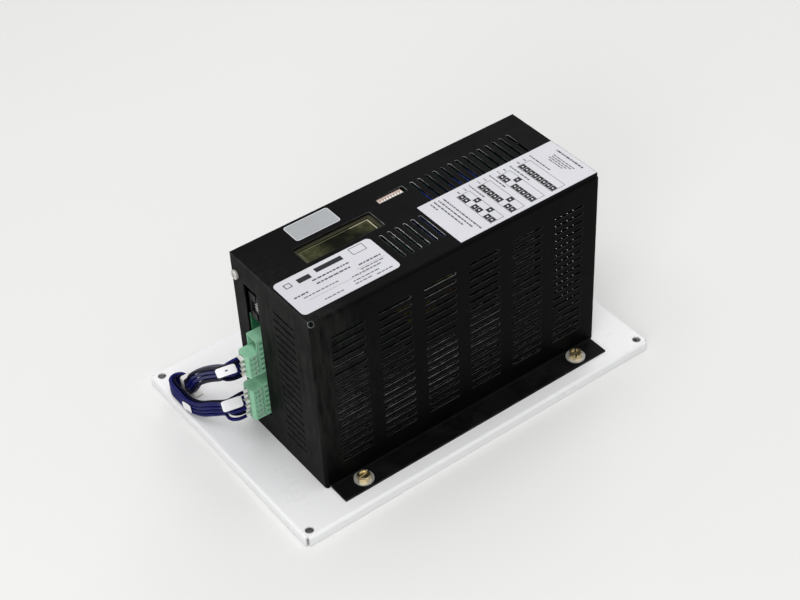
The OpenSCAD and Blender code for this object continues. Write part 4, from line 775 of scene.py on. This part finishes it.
def softBlock(centre, size, power, n=28):
    # rounded block: half the size times each term of a sphere, raised to the power with its sign kept
    lat = np.linspace(-np.pi / 2, np.pi / 2, n)[1:-1]
    lon = np.linspace(0, 2 * np.pi, 2 * n, endpoint=False)
    spow = lambda v: np.sign(v) * np.abs(v) ** power
    x = spow(np.cos(lat))[:, None] * spow(np.cos(lon))[None]
    y = spow(np.cos(lat))[:, None] * spow(np.sin(lon))[None]
    z = np.broadcast_to(spow(np.sin(lat))[:, None], x.shape)
    p = np.stack([x, y, z], -1) * np.array(size) / 2 + np.array(centre)
    return toRow(p.reshape(-1, 3)), loftFaces(len(lat), len(lon))


def tieMesh(s, loom):
    at = tieCentre(s, loom)
    verts, faces, wide, top = strapMesh(at, s, loom)
    head, tail = np.array(s["head"]), np.array(s["tail"])
    headAt = at * [1, 1, 0] + [wide / 2 + head[0] / 2, 0, top - s["headDrop"]]
    tailAt = headAt + [s["tailShift"], 0, -head[2] / 2 - tail[2] / 2 + s["tailOverlap"]]
    headPower, tailPower = s["rounding"]
    return joined([(verts, faces), softBlock(headAt, head, headPower), softBlock(tailAt, tail, tailPower)])


newPiece("loom_tie", *tieMesh(tieSetup, loomSetup), finish["tie_nylon"], "white_plastic", smooth=35,
         replaces=("cable_tie",))
print("cable tie")


# ---- prints on the labels: bars, cells and dots a few hundredths of a millimetre above the film

printSetup = {
    # top of the film, and how high the grey and the dark print and the dots stand on it
    "level": 169.2,
    "grey": 0.02,
    "dark": 0.03,
    "dots": 0.05,
}


def bars(rows, level, height):
    # rows of (x0, y0, x1, y1) as thin closed boxes that stand on the level
    r = np.array(rows, float)
    low = np.column_stack([np.minimum(r[:, :2], r[:, 2:]), np.full(len(r), level)])
    high = np.column_stack([np.maximum(r[:, :2], r[:, 2:]), np.full(len(r), level + height)])
    verts, faces = boxMesh(low, high)
    return toRow(verts), faces


def greekedLine(along, a, b, at, thick, rng, word=(1.6, 4.2), gap=0.7, shortest=0.5):
    # a line of small bars with gaps, like words that are too small to read; along is 0 for X and 1 for Y
    out, p, end, half = [], min(a, b), max(a, b), thick / 2
    while p < end - shortest:
        q = min(end, p + rng.uniform(*word))
        out.append((p, at - half, q, at + half) if along == 0 else (at - half, p, at + half, q))
        p = q + gap
    return out


settingsSetup = {
    "seed": 11,
    "cells": 8,
    "cellPitch": 5.06,
    "cellY": 45.2,
    "cellSize": 4.65,
    "cellWide": 5.8,
    "dot": 0.8,
    # outline of a table: half the line's width, and its distance from the middle of the lower row
    "outline": 0.2,
    "outlineNear": 3.4,
    # centre of the lower row, centre of the upper row or None, indexes of the upper cells, outline's far edge
    "tables": ((230.9, None, (), 240.6), (210.5, 217.2, (2,), 220.3), (190.9, 197.4, (5,), 200.6),
               (171.3, 177.9, (2, 5), 180.5)),
    # lines of print along Y: x, from, to, thickness
    "lines": ((265, 14.4, 45, 1.7), (259.3, 17.7, 42.5, 1.0), (257, 19, 41, 1.0), (254.8, 22, 42, 1.0),
              (252.5, 24, 40, 1.0), (244.2, 28.6, 52.9, 1.2), (223.8, 29.1, 53.3, 1.2),
              (204.2, 33.8, 53.3, 1.2), (184.3, 34.7, 53.4, 1.2), (159, 7, 53.4, 1.3),
              (155, 12.7, 53.4, 1.3), (151.2, 19.1, 54.1, 1.3), (147.5, 44.8, 54.5, 1.3)),
    # words beside the rows of each table: their two x, then from, to, thickness and length for all of them
    "rowWords": ((237.6, 231.4), (217.6, 211.9), (198.4, 192.4), (178.9, 172.5)),
    "rowWord": (49.6, 53.2, 1.0, (1.4, 3.4)),
}


def settingsPrint(s):
    rng = np.random.default_rng(s["seed"])
    dark, grey, white, half = [], [], [], s["outline"]
    for lower, upper, raised, far in s["tables"]:
        near = lower - s["outlineNear"]
        y1 = s["cellY"] + s["cellPitch"] / 2 + half
        y0 = s["cellY"] - (s["cells"] - 0.5) * s["cellPitch"] - half
        for i in range(s["cells"]):
            x = upper if i in raised else lower
            y = s["cellY"] - i * s["cellPitch"]
            wide, size = s["cellWide"] / 2, s["cellSize"] / 2
            dark.append((x - wide, y - size, x + wide, y + size))
            white.append((x, y))
        for x in (near, far):
            grey.append((x - half, y0, x + half, y1))
        for y in (y0, y1):
            grey.append((near, y - half, far, y + half))
    for x, a, b, thick in s["lines"]:
        grey += greekedLine(1, a, b, x, thick, rng)
    a, b, thick, word = s["rowWord"]
    for pair in s["rowWords"]:
        for x in pair:
            grey += greekedLine(1, a, b, x, thick, rng, word=word)
    return dark, grey, white


labelTop, greyPrint, darkPrint = printSetup["level"], printSetup["grey"], printSetup["dark"]
dark, grey, white = settingsPrint(settingsSetup)
newPiece("settings_print_dark", *bars(dark, labelTop, darkPrint), finish["ink_black"], "black_plastic")
newPiece("settings_print_grey", *bars(grey, labelTop, greyPrint), finish["ink_grey"], "black_plastic")
dotVerts, dotFaces = discMesh(white, settingsSetup["dot"], labelTop + greyPrint, labelTop + printSetup["dots"])
newPiece("settings_print_dots", toRow(dotVerts), dotFaces, finish["ink_white"], "label_white")


ratingSetup = {
    "seed": 5,
    # line along X: from, to, y, thickness
    "lines": ((28.3, 60.4, 38, 1.5), (28.9, 58.4, 33.3, 1.5), (64.4, 83.8, 31, 1.5), (62.7, 83, 26, 1.0),
              (52.9, 78.5, 23, 1.0), (7.2, 19.2, 30, 1.5), (12.8, 42.9, 26, 1.0), (50.9, 73.8, 18.4, 1.0),
              (50.4, 64.7, 15.1, 1.0), (68.8, 83, 14.3, 1.0), (23.7, 40.2, 15.5, 1.0)),
    # thin rules as x0, y0, x1, y1
    "rules": ((60.4, 27.7, 85.3, 27.9), (14.3, 21.9, 76.5, 22.1)),
    # plain dark fields, and frames as x0, y0, x1, y1, line width
    "fields": ((36, 43.6, 60, 48.4), (19.4, 41.4, 30.6, 46.4)),
    "frames": ((8.4, 41.8, 14.2, 47.0, 0.8), (68, 42.4, 80.5, 50.4, 0.6)),
}


def ratingPrint(s):
    rng = np.random.default_rng(s["seed"])
    grey = []
    for a, b, y, thick in s["lines"]:
        grey += greekedLine(0, a, b, y, thick, rng)
    for x0, y0, x1, y1, t in s["frames"]:
        grey += [(x0, y0, x1, y0 + t), (x0, y1 - t, x1, y1),
                 (x0, y0 + t, x0 + t, y1 - t), (x1 - t, y0 + t, x1, y1 - t)]
    return grey + list(s["rules"])


newPiece("rating_print_grey", *bars(ratingPrint(ratingSetup), labelTop, greyPrint), finish["ink_grey"],
         "black_plastic")
newPiece("rating_print_field", *bars(ratingSetup["fields"], labelTop, darkPrint), finish["ink_black"],
         "black_plastic")

badgeSetup = {
    # low corner and size of the film, corner radius, margin and width of the pale line round it: a painted
    # highlight on its bevelled rim
    "corner": (45, 81.9),
    "size": (40.2, 19.8),
    "radius": 2.5,
    "margin": 0.15,
    "line": 0.5,
    "points": 160,
}


def badgeOutline(s):
    # rounded rectangle ring: outline point - outward * (margin, margin + line), low and high level
    w, h = s["size"]
    line, outward, _ = strapLoop(w, h, s["radius"], s["points"])
    centre = np.array(s["corner"]) + [w / 2, h / 2]
    xy = [centre + line - outward * inset for inset in (s["margin"], s["margin"] + s["line"])]
    levels = (labelTop, labelTop + greyPrint)
    section = ((0, 0), (0, 1), (1, 1), (1, 0))
    rings = np.stack([np.column_stack([xy[i], np.full(len(line), levels[j])]) for i, j in section], 1)
    faces = np.roll(closedGridFaces(*rings.shape[:2])[:, ::-1], 1, axis=1)
    return toRow(rings.reshape(-1, 3)), faces.tolist()


# pale line round the silver badge: painted highlight on its bevelled rim
newPiece("badge_rim_highlight", *badgeOutline(badgeSetup), finish["ink_white"], "label_silver")
print("label prints")


# ---- display: a pale border line and two rows of unlit character cells on the glass

displaySetup = {
    "centre": (71.6, 66.6),
    "window": (62.5, 14.2),
    "line": 0.55,
    # the right line is this much wider
    "rightShare": 1.4,
    # how far the far edge's bright part reaches from its right end
    "brightReach": 17,
    "columns": 20,
    "cell": (2.3, 4.6),
    "pitch": (2.95, 5.6),
    # top of the glass, and how high the dull line, the bright line and the cells stand on it
    "level": 165.45,
    "heights": (0.04, 0.05, 0.02),
}


def displayLines(s):
    (cx, cy), (w, h), t = s["centre"], s["window"], s["line"]
    x0, x1, y0, y1 = cx - w / 2, cx + w / 2, cy - h / 2, cy + h / 2
    dull = [(x0, y0, x1, y0 + t), (x0, y1 - t, x1 - s["brightReach"], y1), (x0, y0, x0 + t, y1)]
    bright = [(x1 - s["brightReach"], y1 - t, x1, y1), (x1 - t * s["rightShare"], y0 + t, x1, y1 - t)]
    i, j = np.meshgrid(np.arange(s["columns"]), np.arange(2), indexing="ij")
    x = cx + (i.ravel() - (s["columns"] - 1) / 2) * s["pitch"][0]
    y = cy + (j.ravel() - 0.5) * s["pitch"][1]
    cw, ch = s["cell"]
    return dull, bright, np.stack([x - cw / 2, y - ch / 2, x + cw / 2, y + ch / 2], -1)


dullLine, brightLine, cells = displayLines(displaySetup)
level, (dullHigh, brightHigh, cellHigh) = displaySetup["level"], displaySetup["heights"]
newPiece("display_border", *bars(dullLine, level, dullHigh), finish["display_dull"], "display_glass")
newPiece("display_border_bright", *bars(brightLine, level, brightHigh), finish["display_line"], "display_glass")
newPiece("display_cells", *bars(cells, level, cellHigh), finish["display_cell"], "display_glass")
print("display marks")


# ---- floor, lamps and world

studio = {
    "floorSize": 9.0,
    "floorTint": (0.80, 0.80, 0.79),
    "floorShade": 0.985,  # share of the tint in its darker clouds
    "floorCloud": 3,
    "floorRough": 0.85,
    "floorSpecular": 0.1,
    "floorGap": 0.0002,
    # strength of the light, and of the pale world that the camera, glass and gloss see
    "worldLight": 0.42,
    "worldShown": 0.9,
    "lamps": (
        # name, place, aim, width, height, power
        ("overhead", (-0.2, -0.1, 2.3), (0, 0, 0.05), 2.2, 2.2, 34),
        ("front_left", (-1.8, -1.4, 1.15), (0, 0, 0.08), 1.2, 1.2, 19),
        ("right_back", (1.7, 1.2, 1.6), (0, 0, 0.08), 1.4, 0.8, 9),
    ),
}


def makeFloor(s):
    half = s["floorSize"] / 2
    z = float(cadBox[0].z) - s["floorGap"]
    verts = [(-half, -half, z), (half, -half, z), (half, half, z), (-half, half, z)]
    mesh = bpy.data.meshes.new("studioFloor")
    mesh.from_pydata(verts, [], [(0, 1, 2, 3)])
    mat = bpy.data.materials.new("studioFloorFinish")
    mat.use_nodes = True
    tree = mat.node_tree
    shader = tree.nodes["Principled BSDF"]
    shader.inputs["Roughness"].default_value = s["floorRough"]
    shader.inputs["Specular IOR Level"].default_value = s["floorSpecular"]
    coord = tree.nodes.new("ShaderNodeTexCoord")
    cloud = tree.nodes.new("ShaderNodeTexNoise")
    cloud.inputs["Scale"].default_value = s["floorCloud"]
    tree.links.new(coord.outputs["Object"], cloud.inputs["Vector"])
    mix = tree.nodes.new("ShaderNodeMix")
    mix.data_type = "RGBA"
    mix.inputs[6].default_value = (*s["floorTint"], 1)
    mix.inputs[7].default_value = (*(c * s["floorShade"] for c in s["floorTint"]), 1)
    tree.links.new(cloud.outputs["Fac"], mix.inputs[0])
    tree.links.new(mix.outputs[2], shader.inputs["Base Color"])
    mesh.materials.append(mat)
    obj = bpy.data.objects.new("studioFloor", mesh)
    bpy.context.scene.collection.objects.link(obj)


def makeWorld(s):
    world = bpy.data.worlds.new("studioWorld")
    bpy.context.scene.world = world
    world.use_nodes = True
    tree = world.node_tree
    tree.nodes.clear()
    new, link = tree.nodes.new, tree.links.new
    path = new("ShaderNodeLightPath")
    light, shown = new("ShaderNodeBackground"), new("ShaderNodeBackground")
    light.inputs["Color"].default_value = (1, 1, 1, 1)
    light.inputs["Strength"].default_value = s["worldLight"]
    shown.inputs["Color"].default_value = (1, 1, 1, 1)
    shown.inputs["Strength"].default_value = s["worldShown"]
    seen = path.outputs["Is Camera Ray"]
    for ray in ("Is Transmission Ray", "Is Glossy Ray"):
        either = new("ShaderNodeMath")
        either.operation = "MAXIMUM"
        link(seen, either.inputs[0])
        link(path.outputs[ray], either.inputs[1])
        seen = either.outputs[0]
    mix = new("ShaderNodeMixShader")
    link(seen, mix.inputs[0])
    link(light.outputs[0], mix.inputs[1])
    link(shown.outputs[0], mix.inputs[2])
    out = new("ShaderNodeOutputWorld")
    link(mix.outputs[0], out.inputs["Surface"])


def makeLamps(s):
    for name, place, aim, width, height, power in s["lamps"]:
        data = bpy.data.lights.new(name, "AREA")
        data.shape = "RECTANGLE"
        data.size, data.size_y, data.energy = width, height, power
        obj = bpy.data.objects.new(name, data)
        bpy.context.scene.collection.objects.link(obj)
        obj.location = place
        obj.rotation_mode = "QUATERNION"
        obj.rotation_quaternion = (Vector(aim) - Vector(place)).to_track_quat("-Z", "Y")


makeFloor(studio)
makeWorld(studio)
makeLamps(studio)
bpy.context.scene.view_settings.view_transform = "Standard"
print("floor, world and lamps")
